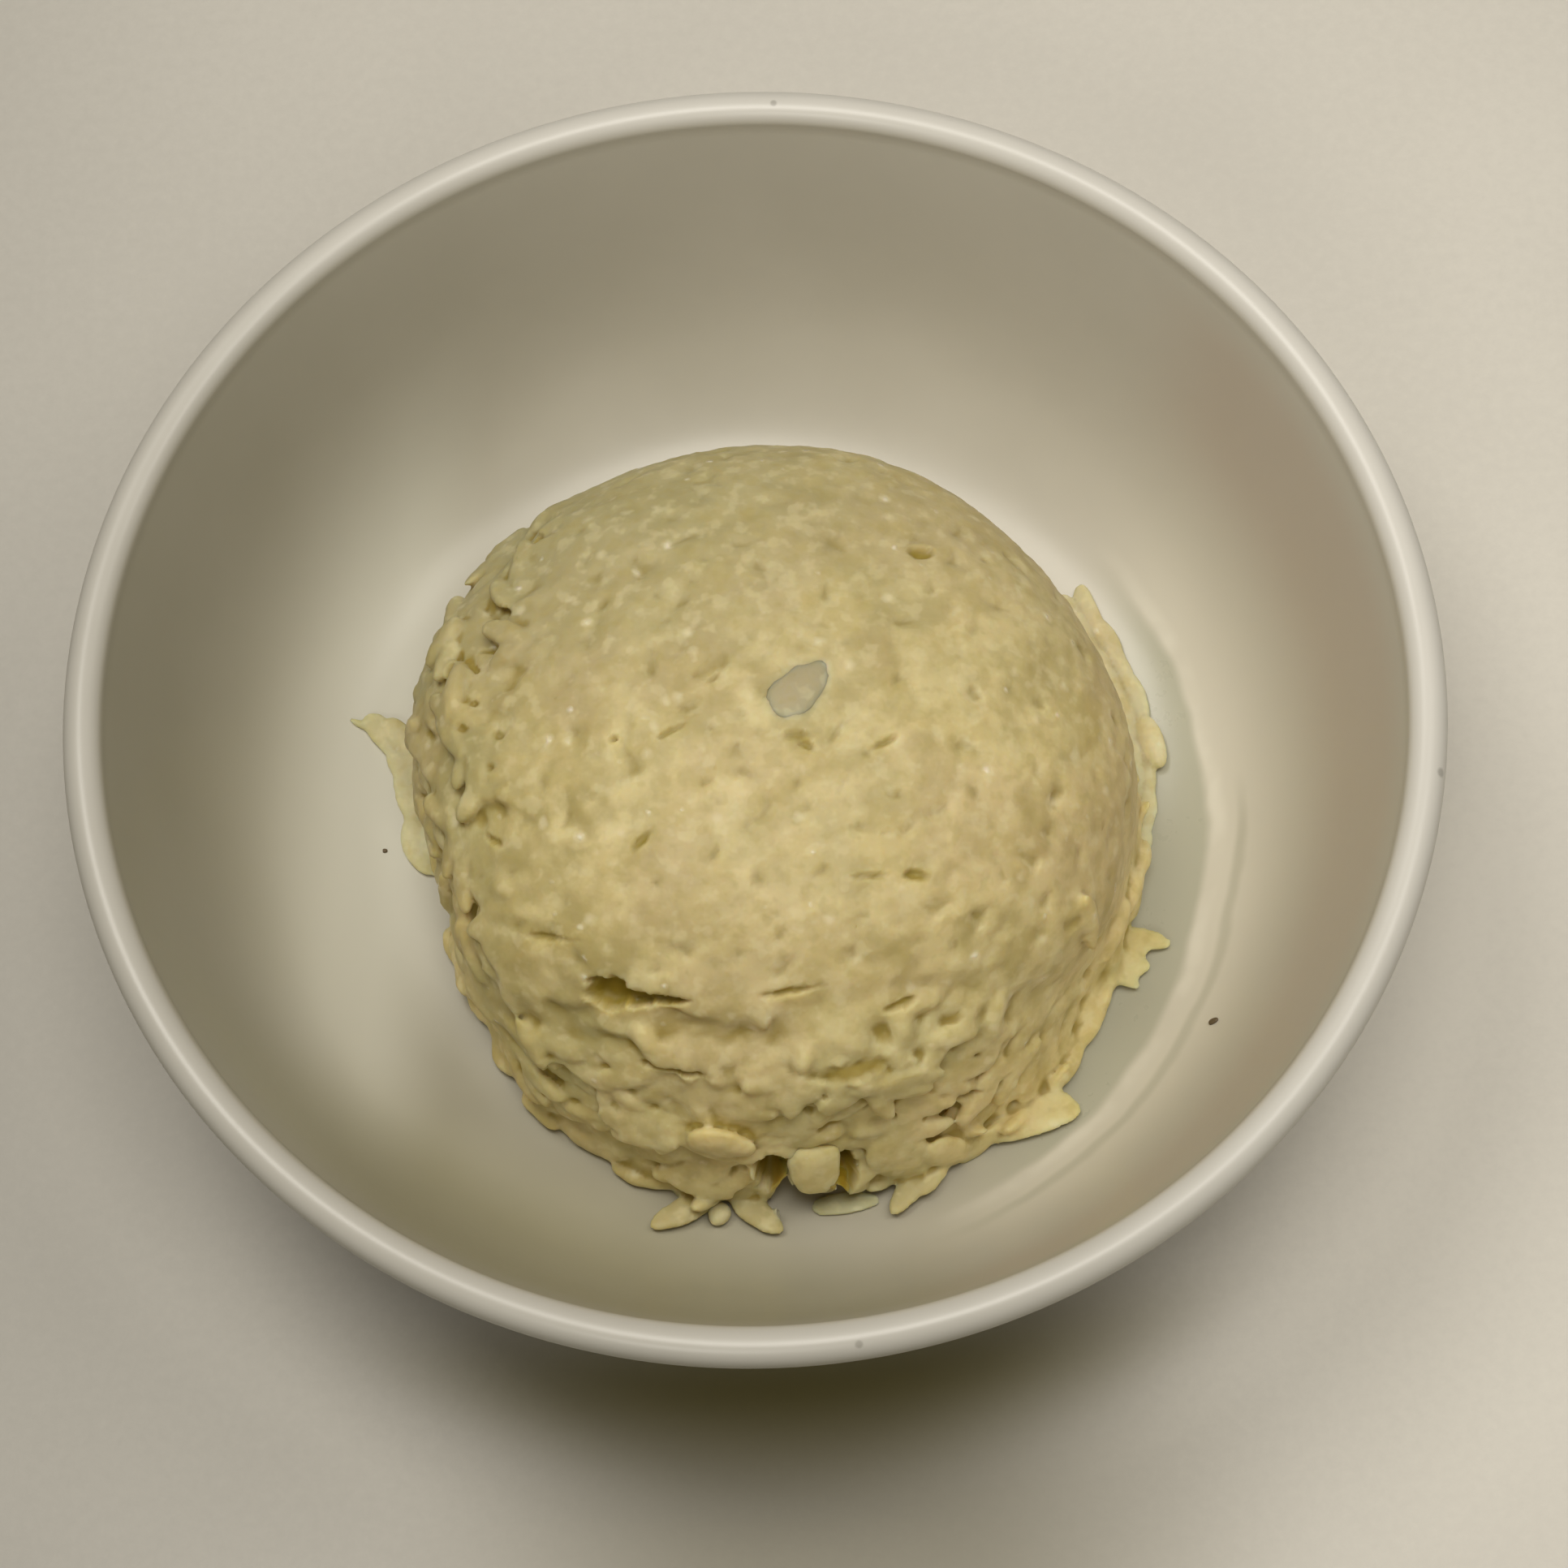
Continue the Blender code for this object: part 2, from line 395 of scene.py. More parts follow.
def bowl_outline():
    inside = inside_curve(INSIDE_POINTS)
    along = np.gradient(inside, axis=0)
    along /= np.linalg.norm(along, axis=1)[:, None]
    outside = (inside + WALL * np.stack([along[:, 1], -along[:, 0]], 1))[::-1]
    outside = outside[outside[:, 0] > FOOT_RADIUS + 1.6 * MM]
    outside = outside[outside[:, 1] < BOWL_HEIGHT - LIP_WIDTH]
    lip = arc((BOWL_RADIUS - HALF_LIP, BOWL_HEIGHT - HALF_LIP), HALF_LIP, 180, -20, LIP_POINTS)
    level = np.linspace(0, FLAT_FLOOR_RADIUS, FLOOR_POINTS)[:-1]
    floor = np.column_stack([level, np.full(len(level), FLOOR_LEVEL)])
    return np.vstack([floor, inside, lip[1:], outside, foot_outline()])


outline = bowl_outline()
print(len(outline), "points round the bowl's section")

# %% [markdown]
# ## Turning the bowl, and its glaze
#
# White glaze over stoneware is never one flat white. It is a little grey and warm, it pools and thins
# in soft clouds, and it has a satin gloss with a faint waviness that breaks up the highlights. Light and
# shade are painted on the inside: it is painted whiter low down on the left and right, duller towards
# the left and in front, and warmer high on the right as a painted reflection, and the lip is painted
# lighter as a highlight. The outside is one even white, and the ring that the bowl stands on is wiped
# clean before firing, so bare clay shows there. Three small grey faults sit on the lip, each painted by
# its distance from a place. The shadow of the heap is painted on the floor to its right as a greyish
# ring, where the glaze is also a little glossier, with a painted lighter edge and a faint second painted
# shadow beyond it. Both follow the floor as rings.

# %% Faults on the lip
LIP_FAULTS = (
    # direction in degrees, distance from the lip's edge, size of the grey mark
    (-12.0, 0.7 * MM, 0.75 * MM),
    (-85.0, 1.2 * MM, 0.60 * MM),
    (84.8, 2.6 * MM, 0.55 * MM),
)


def on_lip(turn, from_edge):
    """A place on top of the lip, by its direction in degrees and its distance from the edge."""
    angle = math.radians(turn)
    radius = BOWL_RADIUS - from_edge
    rise = math.sqrt(max(HALF_LIP ** 2 - (from_edge - HALF_LIP) ** 2, 0))
    height = BOWL_HEIGHT - HALF_LIP + rise
    return Vector((radius * math.cos(angle), radius * math.sin(angle), height))


def lip_faults(finish):
    faults = 0.0
    for turn, from_edge, size in LIP_FAULTS:
        spot = 1 - finish.distance(on_lip(turn, from_edge)).between(size * 0.4, size)
        faults = spot + faults
    return faults


print(len(LIP_FAULTS), "faults on the lip")

# %% Painted light and shade on the inside
GLAZE = {
    # linear red, green and blue
    # dull and light: the wall, with painted shade that is duller towards the left and front
    "dull": (0.375, 0.350, 0.262),
    "light": (0.635, 0.600, 0.508),
    # dull lip and light lip: the lip, painted lighter as a highlight, with the same painted shade
    "dull lip": (0.540, 0.512, 0.440),
    "light lip": (0.760, 0.728, 0.650),
    # painted light and shade on the inside: lighter low on the left, duller in front, a warm reflection
    # high on the right, lighter low on the right
    "painted light, low left": (0.660, 0.640, 0.540),
    "front": (0.370, 0.345, 0.215),
    "painted warm reflection, right": (0.590, 0.475, 0.375),
    "painted light, low right": (0.780, 0.740, 0.620),
    # the painted shadow of the heap on the floor, a painted lighter band at its edge and a second painted
    # shadow
    "painted_shadow": (0.400, 0.405, 0.305),
    "painted light at the shadow's edge": (0.830, 0.800, 0.690),
    "second painted shadow": (0.360, 0.355, 0.260),
    "outside": (0.690, 0.660, 0.580),
    "fault": (0.20, 0.18, 0.14),
    "bare clay": (0.42, 0.36, 0.27),
}


def painted_light_inside(finish, height, right):
    """Painted light and shade on the inside: shares and colours."""
    low = 1 - height.between(11 * MM, 36 * MM)
    leftward = finish.along((-1.0, 0.1, 0.0))
    left = leftward.between(36 * MM, 48 * MM) * low
    left *= 1 - leftward.between(52 * MM, 66 * MM) * 0.6
    front = finish.along((-0.40, -0.92, 0.0)).between(44 * MM, 64 * MM)
    front *= 1 - height.between(38 * MM, 50 * MM)
    # painted reflection: warmer high on the right
    painted_warm_reflection = height.band(18 * MM, 34 * MM, 44 * MM, 51 * MM) * right
    return [
        (left * 0.85, GLAZE["painted light, low left"]),
        (front * 0.65, GLAZE["front"]),
        (painted_warm_reflection * 0.45, GLAZE["painted warm reflection, right"]),
        (low * right * 0.45, GLAZE["painted light, low right"]),
    ]


def paint_heap_shadow(finish, clouds, right):
    """Where the painted shadow of the heap lies, and its shares and colours: the shadow, a painted lighter
    edge and a second painted shadow.
    """
    reach = finish.distance((0.0, 0.0, 13 * MM)) + (clouds - 0.5) * (4 * MM)
    painted_shadow = (1 - reach.between(55.4 * MM, 56.8 * MM)) * right
    # painted light in a band at the edge of the shadow
    edge = reach.band(56.0 * MM, 56.9 * MM, 57.1 * MM, 58.4 * MM) * right
    edge *= finish.grain(7 * MM, 2.0).between(0.35, 0.65)
    # a second, fainter painted shadow further out
    second_painted_shadow = reach.band(58.8 * MM, 59.6 * MM, 59.8 * MM, 60.8 * MM) * right
    second_painted_shadow *= finish.along((0.3, -1.0, 0.0)).between(16 * MM, 26 * MM)
    return painted_shadow, [
        (painted_shadow * 0.70, GLAZE["painted_shadow"]),
        (edge * 0.40, GLAZE["painted light at the shadow's edge"]),
        (second_painted_shadow * 0.40, GLAZE["second painted shadow"]),
    ]


print(len(GLAZE), "colours in the glaze")

# %% Glaze


def outside_of(finish, height):
    """1 on the outer wall, where the surface faces away from the bowl's axis."""
    normal = finish.node("ShaderNodeNewGeometry", out="Normal")
    from_axis = finish.vectors("MULTIPLY", finish.here(), (1.0, 1.0, 0.0), out=0)
    facing = finish.vectors("DOT_PRODUCT", normal, from_axis)
    return facing.between(2 * MM, 20 * MM) * (1 - height.between(48 * MM, 50 * MM))


def glaze_finish():
    finish = Finish("white_glaze")
    clouds = finish.grain(22 * MM, 3.0)
    fine = finish.grain(1.1 * MM, 3.0, 0.6)
    height = finish.part_of(finish.here(), "Z")
    # the clouds are the glaze's own tone; the slope across the bowl is painted shade, duller to the left
    # and front
    tone_and_painted_shade = (clouds - 0.5) * 0.3 + finish.along((0.8, 0.6, 0.0)).between(-100 * MM, 100 * MM)
    wall = finish.blend(tone_and_painted_shade, GLAZE["dull"], GLAZE["light"])
    lip = finish.blend(tone_and_painted_shade, GLAZE["dull lip"], GLAZE["light lip"])
    right = finish.along((0.95, -0.30, 0.0)).between(30 * MM, 46 * MM)
    painted_shadow, painted_shadow_layers = paint_heap_shadow(finish, clouds, right)
    bare = 1 - height.between(0.4 * MM, 0.9 * MM)
    finish.set(
        base_color=finish.painted(wall, [
            # painted highlight: the top of the lip is lighter
            (height.between(50.5 * MM, 52.5 * MM), lip),
            # painted light and shade on the inside
            *painted_light_inside(finish, height, right),
            # painted shadow of the heap on the floor to its right
            *painted_shadow_layers,
            (outside_of(finish, height), GLAZE["outside"]),
            (lip_faults(finish) * 0.45, GLAZE["fault"]),
            (bare, GLAZE["bare clay"]),
        ]),
        # the glaze is a little glossier where the shadow of the heap is painted
        roughness=clouds * 0.10 + fine * 0.06 + bare * 0.4 - painted_shadow * 0.08 + 0.28,
        normal=finish.bump(clouds * 4 + fine * 0.25, 0.05 * MM, 0.6),
        coat_weight=0.15)
    finish.shader.inputs["Coat Roughness"].default_value = 0.22
    return finish.material


glaze = glaze_finish()
print(len(glaze.node_tree.nodes), "nodes in the glaze")

# %% Turn the bowl


def add_piece(name, mesh, material, node):
    """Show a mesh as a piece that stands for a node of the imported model."""
    mesh.shade_smooth()
    mesh.materials.append(material)
    piece = bpy.data.objects.new(name, mesh)
    bpy.context.scene.collection.objects.link(piece)
    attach(piece, "root")
    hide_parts(node)


def new_mesh(name, points, faces):
    mesh = bpy.data.meshes.new(name)
    mesh.from_pydata(np.asarray(points).tolist(), [], [list(map(int, face)) for face in faces])
    mesh.update()
    return mesh


def turned(outline, segments):
    """Points and faces of an outline turned about Z, whose two ends lie on the axis."""
    turns = np.linspace(0, math.tau, segments, endpoint=False)
    body = outline[1:-1]
    rings = np.stack([
        body[:, :1] * np.cos(turns),
        body[:, :1] * np.sin(turns),
        np.repeat(body[:, 1:], segments, 1),
    ], -1).reshape(-1, 3)
    points = np.vstack([rings, [0, 0, outline[0, 1]], [0, 0, outline[-1, 1]]])
    faces = []
    for row in range(len(body) - 1):
        for here in range(segments):
            after = (here + 1) % segments
            low, high = row * segments, (row + 1) * segments
            faces.append((low + here, high + here, high + after, low + after))
    last = (len(body) - 1) * segments
    for here in range(segments):
        after = (here + 1) % segments
        faces.append((len(rings), here, after))
        faces.append((len(rings) + 1, last + after, last + here))
    return points, faces


bowl_mesh = new_mesh("glazed_bowl", *turned(outline, BOWL_SEGMENTS))
add_piece("glazed_bowl", bowl_mesh, glaze, "bowl")
print(len(bowl_mesh.polygons), "faces in the bowl")

# %% [markdown]
# ## The form that the rice was pressed into
#
# The cook packed the rice into a cup and turned it out. The top and back kept the smooth round of
# the cup, and the front slumped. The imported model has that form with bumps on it. Ironing the bumps
# out gives the surface that the cup pressed against, and each grain is then pressed back to it.

# %% The pressed form


def evaluated(obj):
    """Points and triangles of an object with its modifiers applied."""
    shown = obj.evaluated_get(bpy.context.evaluated_depsgraph_get())
    mesh = shown.to_mesh()
    mesh.calc_loop_triangles()
    points = np.empty(len(mesh.vertices) * 3)
    mesh.vertices.foreach_get("co", points)
    triangles = np.empty(len(mesh.loop_triangles) * 3, dtype=np.int64)
    mesh.loop_triangles.foreach_get("vertices", triangles)
    shown.to_mesh_clear()
    return points.reshape(-1, 3), triangles.reshape(-1, 3)


def through_modifiers(points, triangles, modifiers):
    """Run a mesh through a list of modifiers, each a type and its settings."""
    obj = bpy.data.objects.new("work", new_mesh("work", points, triangles))
    bpy.context.scene.collection.objects.link(obj)
    for kind, settings in modifiers:
        modifier = obj.modifiers.new(kind.lower(), kind)
        for name, value in settings.items():
            setattr(modifier, name, value)
    result = evaluated(obj)
    bpy.data.objects.remove(obj)
    return result


def normals_of(points, triangles):
    a, b, c = (points[triangles[:, k]] for k in range(3))
    face_normals = np.cross(b - a, c - a)
    total = np.zeros_like(points)
    for k in range(3):
        for axis in range(3):
            total[:, axis] += np.bincount(triangles[:, k], face_normals[:, axis], len(points))
    return total / np.maximum(np.linalg.norm(total, axis=1), 1e-20)[:, None]


class Form:
    """A closed surface that points can be measured from and pressed to."""

    def __init__(self, points, triangles):
        self.points, self.triangles = points, triangles
        self.normals = normals_of(points, triangles)
        self.tree = BVHTree.FromPolygons(points.tolist(), triangles.tolist())

    def nearest(self, points):
        """The nearest place on the form, and how far outside it each point is."""
        places = np.empty_like(points)
        outside = np.empty(len(points))
        for i, point in enumerate(points.tolist()):
            place, normal, _, distance = self.tree.find_nearest(point)
            places[i] = place
            outside[i] = math.copysign(distance, (Vector(point) - place).dot(normal))
        return places, outside


cad_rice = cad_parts["rice"]
cad_points, cad_triangles = evaluated(cad_rice)
form = Form(*through_modifiers(cad_points, cad_triangles, [
    ("WELD", {"merge_threshold": 0.02 * MM}),
    ("SMOOTH", {"factor": 0.5, "iterations": 7}),
    ("SUBSURF", {"levels": 1, "render_levels": 1}),
]))
print(len(form.triangles), "triangles in the pressed form")

# %% [markdown]
# ## Where the heap is rough
#
# The pressed round is smooth. The front has slumped away below a crack, less so towards the right,
# and the foot of the heap is loose all round, as is the left side, where grains came away with the
# cup. One number from 0 to 1 says how rough a place is, and the later steps all use it.

# %% Rough and smooth places
MOUND_CENTRE = Vector((2.6 * MM, -5.7 * MM, FLOOR_LEVEL))
SLUMP_PLANE = 13.5 * MM
SLUMP_TILT = math.radians(67)
LOOSE_FOOT = 9 * MM
LEFT_SIDE, LEFT_FADE = 28 * MM, 9 * MM
RIGHT_SIDE, RIGHT_FADE = 15 * MM, 12 * MM
RIGHT_CALM = 0.55


def step(value):
    """0 below 0, 1 above 1 and smooth in between."""
    value = np.clip(value, 0, 1)
    return value * value * (3 - 2 * value)


def soft_noise(points, size, seed=0):
    """Smooth noise from about -1 to 1 at each point."""
    shift = Vector((seed * 7.3, seed * 3.1, seed * 5.7))
    return np.array([noise.noise(Vector(p) / size + shift) for p in np.asarray(points).tolist()])


def below_crack(points):
    """How far each point lies beyond the plane that the front has slumped from."""
    near = points - np.array(MOUND_CENTRE)
    beyond = -near[:, 1] * math.sin(SLUMP_TILT) - near[:, 2] * math.cos(SLUMP_TILT) - SLUMP_PLANE
    return beyond - 2.0 * MM * soft_noise(points * [1, 0, 0], 12 * MM, 2)


def slumped(points):
    """0 on the pressed round, 1 below the crack on the slumped front."""
    return step(below_crack(points) / (1.6 * MM) + 0.5)


def roughness_of(points):
    near = points - np.array(MOUND_CENTRE)
    foot = step(1.2 - near[:, 2] / LOOSE_FOOT)
    left = step((-near[:, 0] + 0.15 * near[:, 1] - LEFT_SIDE) / LEFT_FADE)
    front = step(below_crack(points) / (6 * MM) + 0.25)
    front *= 1 - RIGHT_CALM * step((near[:, 0] - RIGHT_SIDE) / RIGHT_FADE)
    return np.clip(np.maximum.reduce([front, foot, left]), 0, 1)


print("rough share of the form", round(float(roughness_of(form.points).mean()), 2))

# %% [markdown]
# ## One grain
#
# A cooked short grain is a plump, slightly bent drop, about seven and a half millimetres long and
# three wide, with one end blunter than the other. It starts as rings along X, one unit long and wide,
# so that each copy can be given its own length, width, thickness and bend. A grain that has been
# squashed flat has pointed ends, and a lump has blunt ones, so the shape of the ends can be given too.

# %% One grain
BLUNT, ROUND, FLAT, PLUMP, OVAL, POINTED = 0.45, 0.6, 0.8, 0.85, 0.9, 1.0
NARROWING = 0.22
PLAIN_MESH = (9, 8)
FINE_MESH = (14, 14)


def grain_shape(around, along, ends=PLUMP):
    """Points and faces of one grain, from -0.5 to 0.5 along X."""
    turns = np.linspace(0, math.tau, around, endpoint=False)
    slices = np.linspace(0, math.pi, along + 1)[1:-1]
    x = -np.cos(slices) / 2
    girth = np.sin(slices) ** ends / 2 * (1 - NARROWING * x)
    rings = np.stack([
        np.repeat(x[:, None], around, 1),
        girth[:, None] * np.cos(turns),
        girth[:, None] * np.sin(turns),
    ], -1).reshape(-1, 3)
    points = np.vstack([rings, [-0.5, 0, 0], [0.5, 0, 0]])
    faces = []
    for here in range(around):
        after = (here + 1) % around
        for row in range(len(x) - 1):
            low, high = row * around, (row + 1) * around
            faces.append((low + here, low + after, high + after))
            faces.append((low + here, high + after, high + here))
        last = (len(x) - 1) * around
        faces.append((len(rings), after, here))
        faces.append((len(rings) + 1, last + here, last + after))
    return points, np.array(faces)


def lay_grains(shape, places, along, up, sizes, bends):
    """Copies of a grain, each at its place, pointing along one way and lying with up outwards."""
    side = np.cross(up, along)
    x, y, z = (shape[None, :, k, None] for k in range(3))
    length, width, depth = (sizes[:, k, None, None] for k in range(3))
    bend = bends[:, None, None] * (4 * x ** 2 - 0.5)
    return (places[:, None] + along[:, None] * x * length
            + side[:, None] * (y * width + bend) + up[:, None] * z * depth)


def joined(copies, faces):
    """One list of points and one of faces for many copies of a shape."""
    count, points = copies.shape[:2]
    shifts = np.arange(count)[:, None, None] * points
    return copies.reshape(-1, 3), (faces[None] + shifts).reshape(-1, 3)


def unit(vectors):
    return vectors / np.linalg.norm(vectors, axis=1)[:, None]


print(len(grain_shape(*PLAIN_MESH)[1]), "triangles in a plain grain")

# %% [markdown]
# ## The outer layer of grains
#
# The heap holds thousands of grains, but only the outermost layer shows. Those are scattered over
# the form, thinned so that no two are closer than two thirds of their width, and laid nearly flat.
# Grains that went into the cup together lie roughly the same way, so each takes the direction of the
# patch that it belongs to, give or take.

# %% Scatter places over the form
rng = np.random.default_rng(11)


def scatter(surface, count):
    """Random places all over a surface, with its normal at each."""
    corners = surface.points[surface.triangles]
    first, second = corners[:, 1] - corners[:, 0], corners[:, 2] - corners[:, 0]
    areas = np.linalg.norm(np.cross(first, second), axis=1)
    picks = rng.choice(len(areas), count, p=areas / areas.sum())
    a, b = rng.random((2, count, 1))
    over = a + b > 1
    a, b = np.where(over, 1 - a, a), np.where(over, 1 - b, b)
    weights = np.concatenate([1 - a - b, a, b], 1)[:, :, None]
    places = (corners[picks] * weights).sum(1)
    return places, unit((surface.normals[surface.triangles[picks]] * weights).sum(1))


def thinned(places, spacing):
    """Indices of places that keep at least the spacing between each other."""
    kept, cells = [], {}
    for i, place in enumerate(places):
        cell = tuple((place // spacing).astype(int))
        around = product(*((number - 1, number, number + 1) for number in cell))
        close = [j for key in around for j in cells.get(key, ())]
        if all(np.sum((places[j] - place) ** 2) > spacing ** 2 for j in close):
            kept.append(i)
            cells.setdefault(cell, []).append(i)
    return np.array(kept)


SCATTERED = 16000
GRAIN_SPACING = 2.15 * MM
LOWEST_GRAIN = FLOOR_LEVEL + 1.2 * MM
places, outward = scatter(form, SCATTERED)
above_base = places[:, 2] > LOWEST_GRAIN
places, outward = places[above_base], outward[above_base]
kept = thinned(places, GRAIN_SPACING)
places, outward = places[kept], outward[kept]
count = len(places)
print(count, "grains in the outer layer")

# %% [markdown]
# ## Flakes on the slumped front
#
# Where the heap has slumped, the pressed skin has broken into flakes a centimetre or so across. Each
# has slid a little on its own, and most lean out at the bottom, so that they lie over each other like
# shingles, with a soft shadow under each edge. The skin level says how far outside the form the
# surface stands at any point. On the pressed round it only swells and dips by less than half a
# millimetre.

# %% Flakes and the level of the skin
FLAKE_SPACING = 6.6 * MM
FLAKE_STRETCH = np.array([0.62, 1, 1])
CRACK_DROP = 0.55 * MM
DOWNHILL = np.array([0.0, -0.15, -1.0])
MOST_INWARD, MOST_OUTWARD = -1.6 * MM, 1.3 * MM


def tree_of(places):
    tree = KDTree(len(places))
    for i, place in enumerate(places):
        tree.insert(place, i)
    tree.balance()
    return tree


chosen = thinned(places * FLAKE_STRETCH, FLAKE_SPACING)
flake_seeds = places[chosen]
flake_out = rng.uniform(-1.1, 0.5, len(chosen)) * MM
flake_lean = rng.uniform(0.10, 0.42, len(chosen))
flake_side = rng.normal(0, 0.08, len(chosen))
flake_turn = rng.normal(0.2, 0.6, len(chosen))
flake_normal = outward[chosen]
flake_down = unit(DOWNHILL - flake_normal * (flake_normal @ DOWNHILL)[:, None])
flake_across = np.cross(flake_normal, flake_down)
flake_tree = tree_of(flake_seeds * FLAKE_STRETCH)


def flakes_at(points):
    """The flake that each point belongs to."""
    return np.array([flake_tree.find(point)[1] for point in points * FLAKE_STRETCH])


def skin_level(points, flakes):
    """How far outside the form the skin of the heap lies at each point."""
    lumps = 0.16 * MM * soft_noise(points, 5 * MM, 1) + 0.30 * MM * soft_noise(points, 13 * MM, 4)
    from_seed = points - flake_seeds[flakes]
    slid = flake_out[flakes] + flake_lean[flakes] * (from_seed * flake_down[flakes]).sum(1)
    slid += flake_side[flakes] * (from_seed * flake_across[flakes]).sum(1)
    drop = slumped(points) * (1 - step(below_crack(points) / (7 * MM))) * CRACK_DROP
    return lumps + roughness_of(points) * np.clip(slid, MOST_INWARD, MOST_OUTWARD) - drop


print(len(flake_seeds), "flakes and patches")

# %% Lay the outer layer


def tangents(outward, turns):
    """Directions lying in the surface, turned by an angle from the level direction."""
    level = unit(np.cross([0, 0, 1.0], outward) + [1e-6, 0, 0])
    rise = np.cross(outward, level)
    return np.cos(turns)[:, None] * level + np.sin(turns)[:, None] * rise


def tilted(along, outward, tilts):
    """Raise one end of each grain out of the surface."""
    return unit(along * np.cos(tilts)[:, None] + outward * np.sin(tilts)[:, None])


GRAIN_SIZES = (
    # mean and spread (mm): length, width, thickness
    (7.4, 0.55),
    (3.05, 0.18),
    (2.55, 0.16),
)


def grain_sizes(count):
    return np.stack([rng.normal(mean, spread, count) for mean, spread in GRAIN_SIZES], 1) * MM


flakes = flakes_at(places)
rough = roughness_of(places)
along = tangents(outward, flake_turn[flakes] + rng.normal(0, 1, count) * (0.9 - 0.4 * rough))
along = tilted(along, outward, rng.normal(0, 1, count) * (0.05 + 0.06 * rough))
up = unit(outward - along * (outward * along).sum(1)[:, None])
sink = (rng.uniform(0.35, 1.05, count) + rough * rng.uniform(-0.1, 0.4, count)) * MM
sink -= skin_level(places, flakes)
shape, shape_faces = grain_shape(*PLAIN_MESH)
sizes = grain_sizes(count)
bends = rng.normal(0, 0.28, count) * MM
layer = lay_grains(shape, places - outward * sink[:, None], along, up, sizes, bends)
layer_points, layer_faces = joined(layer, shape_faces)
print(len(layer_faces), "triangles before pressing")

# %% [markdown]
# ## Pressing
#
# Warm rice is soft. In the cup, whatever stood out was pushed back almost flush, so the pressed round
# shows each grain only as a flat oval with a fine groove round it. Points outside the skin level are
# moved back towards it, nearly all the way on the pressed part and a little less where the heap is
# rough. The core is the form itself, drawn in by half a millimetre to a millimetre.

# %% Press the grains
KEPT_PRESSED = 0.14
KEPT_ROUGH = 0.17
CORE_DEPTH, CORE_DEPTH_ROUGH = 0.55, 0.6
CORE_GAP = 0.3 * MM


def pressed(points, flakes, outward):
    """Points outside the skin level moved back towards it, along each grain's own outward way."""
    _, outside = form.nearest(points)
    level = skin_level(points, flakes)
    keep = KEPT_PRESSED + (KEPT_ROUGH - KEPT_PRESSED) * roughness_of(points)
    back = np.maximum(outside - level, 0) * (1 - keep)
    return points - outward * back[:, None]


def floor_height(points):
    """Height of the glazed inside of the bowl under each point."""
    curve = inside_curve(INSIDE_POINTS)
    radius = np.hypot(points[:, 0], points[:, 1])
    return np.interp(radius, curve[:, 0], curve[:, 1])


per_grain = len(shape)
layer_points = pressed(layer_points, np.repeat(flakes, per_grain), np.repeat(outward, per_grain, 0))
core_flakes = flakes_at(form.points)
core_depth = (CORE_DEPTH + CORE_DEPTH_ROUGH * roughness_of(form.points)) * MM
core_depth -= skin_level(form.points, core_flakes)
core_points = form.points - form.normals * core_depth[:, None]
core_points[:, 2] = np.maximum(core_points[:, 2], FLOOR_LEVEL + CORE_GAP)
print("pressed", len(layer_points), "points")

# %% [markdown]
# ## Grains at the foot, laid one by one
#
# When the cup was lifted off, some grains stayed behind on the glaze round the heap. In front, two
# flattened grains point out like petals, with a small round one between them, and a clump to their
# right ends in two pointed tips. On the right the foot spreads into thin pointed flaps. Each grain is
# given by its two ends. Those on the floor rest on the curve of the bowl, and those on the heap are
# moved on to its surface.

# %% Grains that lie on the floor of the bowl
FOOT_GRAINS = (
    # one end, other end, width, thickness, gap below (mm)
    (-7.6, -47.6, -16.6, -52.4, 3.9, 1.6, 0.5),
    (-6.6, -48.0, -0.7, -54.0, 3.8, 1.6, 0.5),
    (-12.0, -47.4, -4.0, -48.0, 3.6, 3.0, 0.2),
    (19.0, -45.0, 12.6, -52.8, 3.6, 1.5, 0.9),
    (20.0, -45.0, 16.4, -50.9, 3.0, 1.5, 1.2),
    (15.0, -45.4, 9.8, -49.6, 3.4, 1.4, 1.6),
    (12.0, -47.4, 20.0, -46.6, 3.2, 2.4, 0.8),
    (-21.0, -43.6, -13.2, -46.8, 3.2, 2.2, 0.2),
    (18.0, -43.0, 29.0, -41.6, 5.0, 1.8, 0.7),
    (23.0, -43.0, 36.8, -41.0, 4.6, 1.4, 0.6),
    (26.0, -36.5, 36.6, -41.3, 5.2, 1.5, 0.6),
    (24.0, -41.0, 34.5, -39.4, 4.8, 2.0, 0.5),
    (33.0, -38.4, 38.0, -31.0, 3.2, 2.4, 0.6),
    (36.6, -33.0, 41.2, -26.4, 3.2, 2.4, 0.6),
    (39.0, -19.0, 45.6, -25.8, 3.8, 1.3, 0.7),
    (41.6, -18.0, 50.2, -20.4, 3.6, 1.2, 0.6),
    (41.5, -20.0, 47.2, -23.4, 3.6, 1.4, 0.5),
    (-41.6, 14.0, -41.2, 6.8, 2.8, 2.4, 1.6),
    (-41.4, 7.4, -41.0, 0.0, 2.8, 2.4, 1.6),
    (-40.9, 0.4, -39.6, -6.6, 2.9, 2.5, 0.6),
    (-39.9, -11.6, -38.0, -17.2, 2.8, 2.4, 0.3),
    (-36.9, -18.6, -35.2, -24.8, 3.1, 2.6, 0.2),
    (-34.2, -26.0, -32.2, -31.6, 3.0, 2.4, 0.2),
    (-31.2, -33.8, -27.0, -38.6, 3.0, 2.4, 0.2),
)


SMALL_STEP = 0.5 * MM


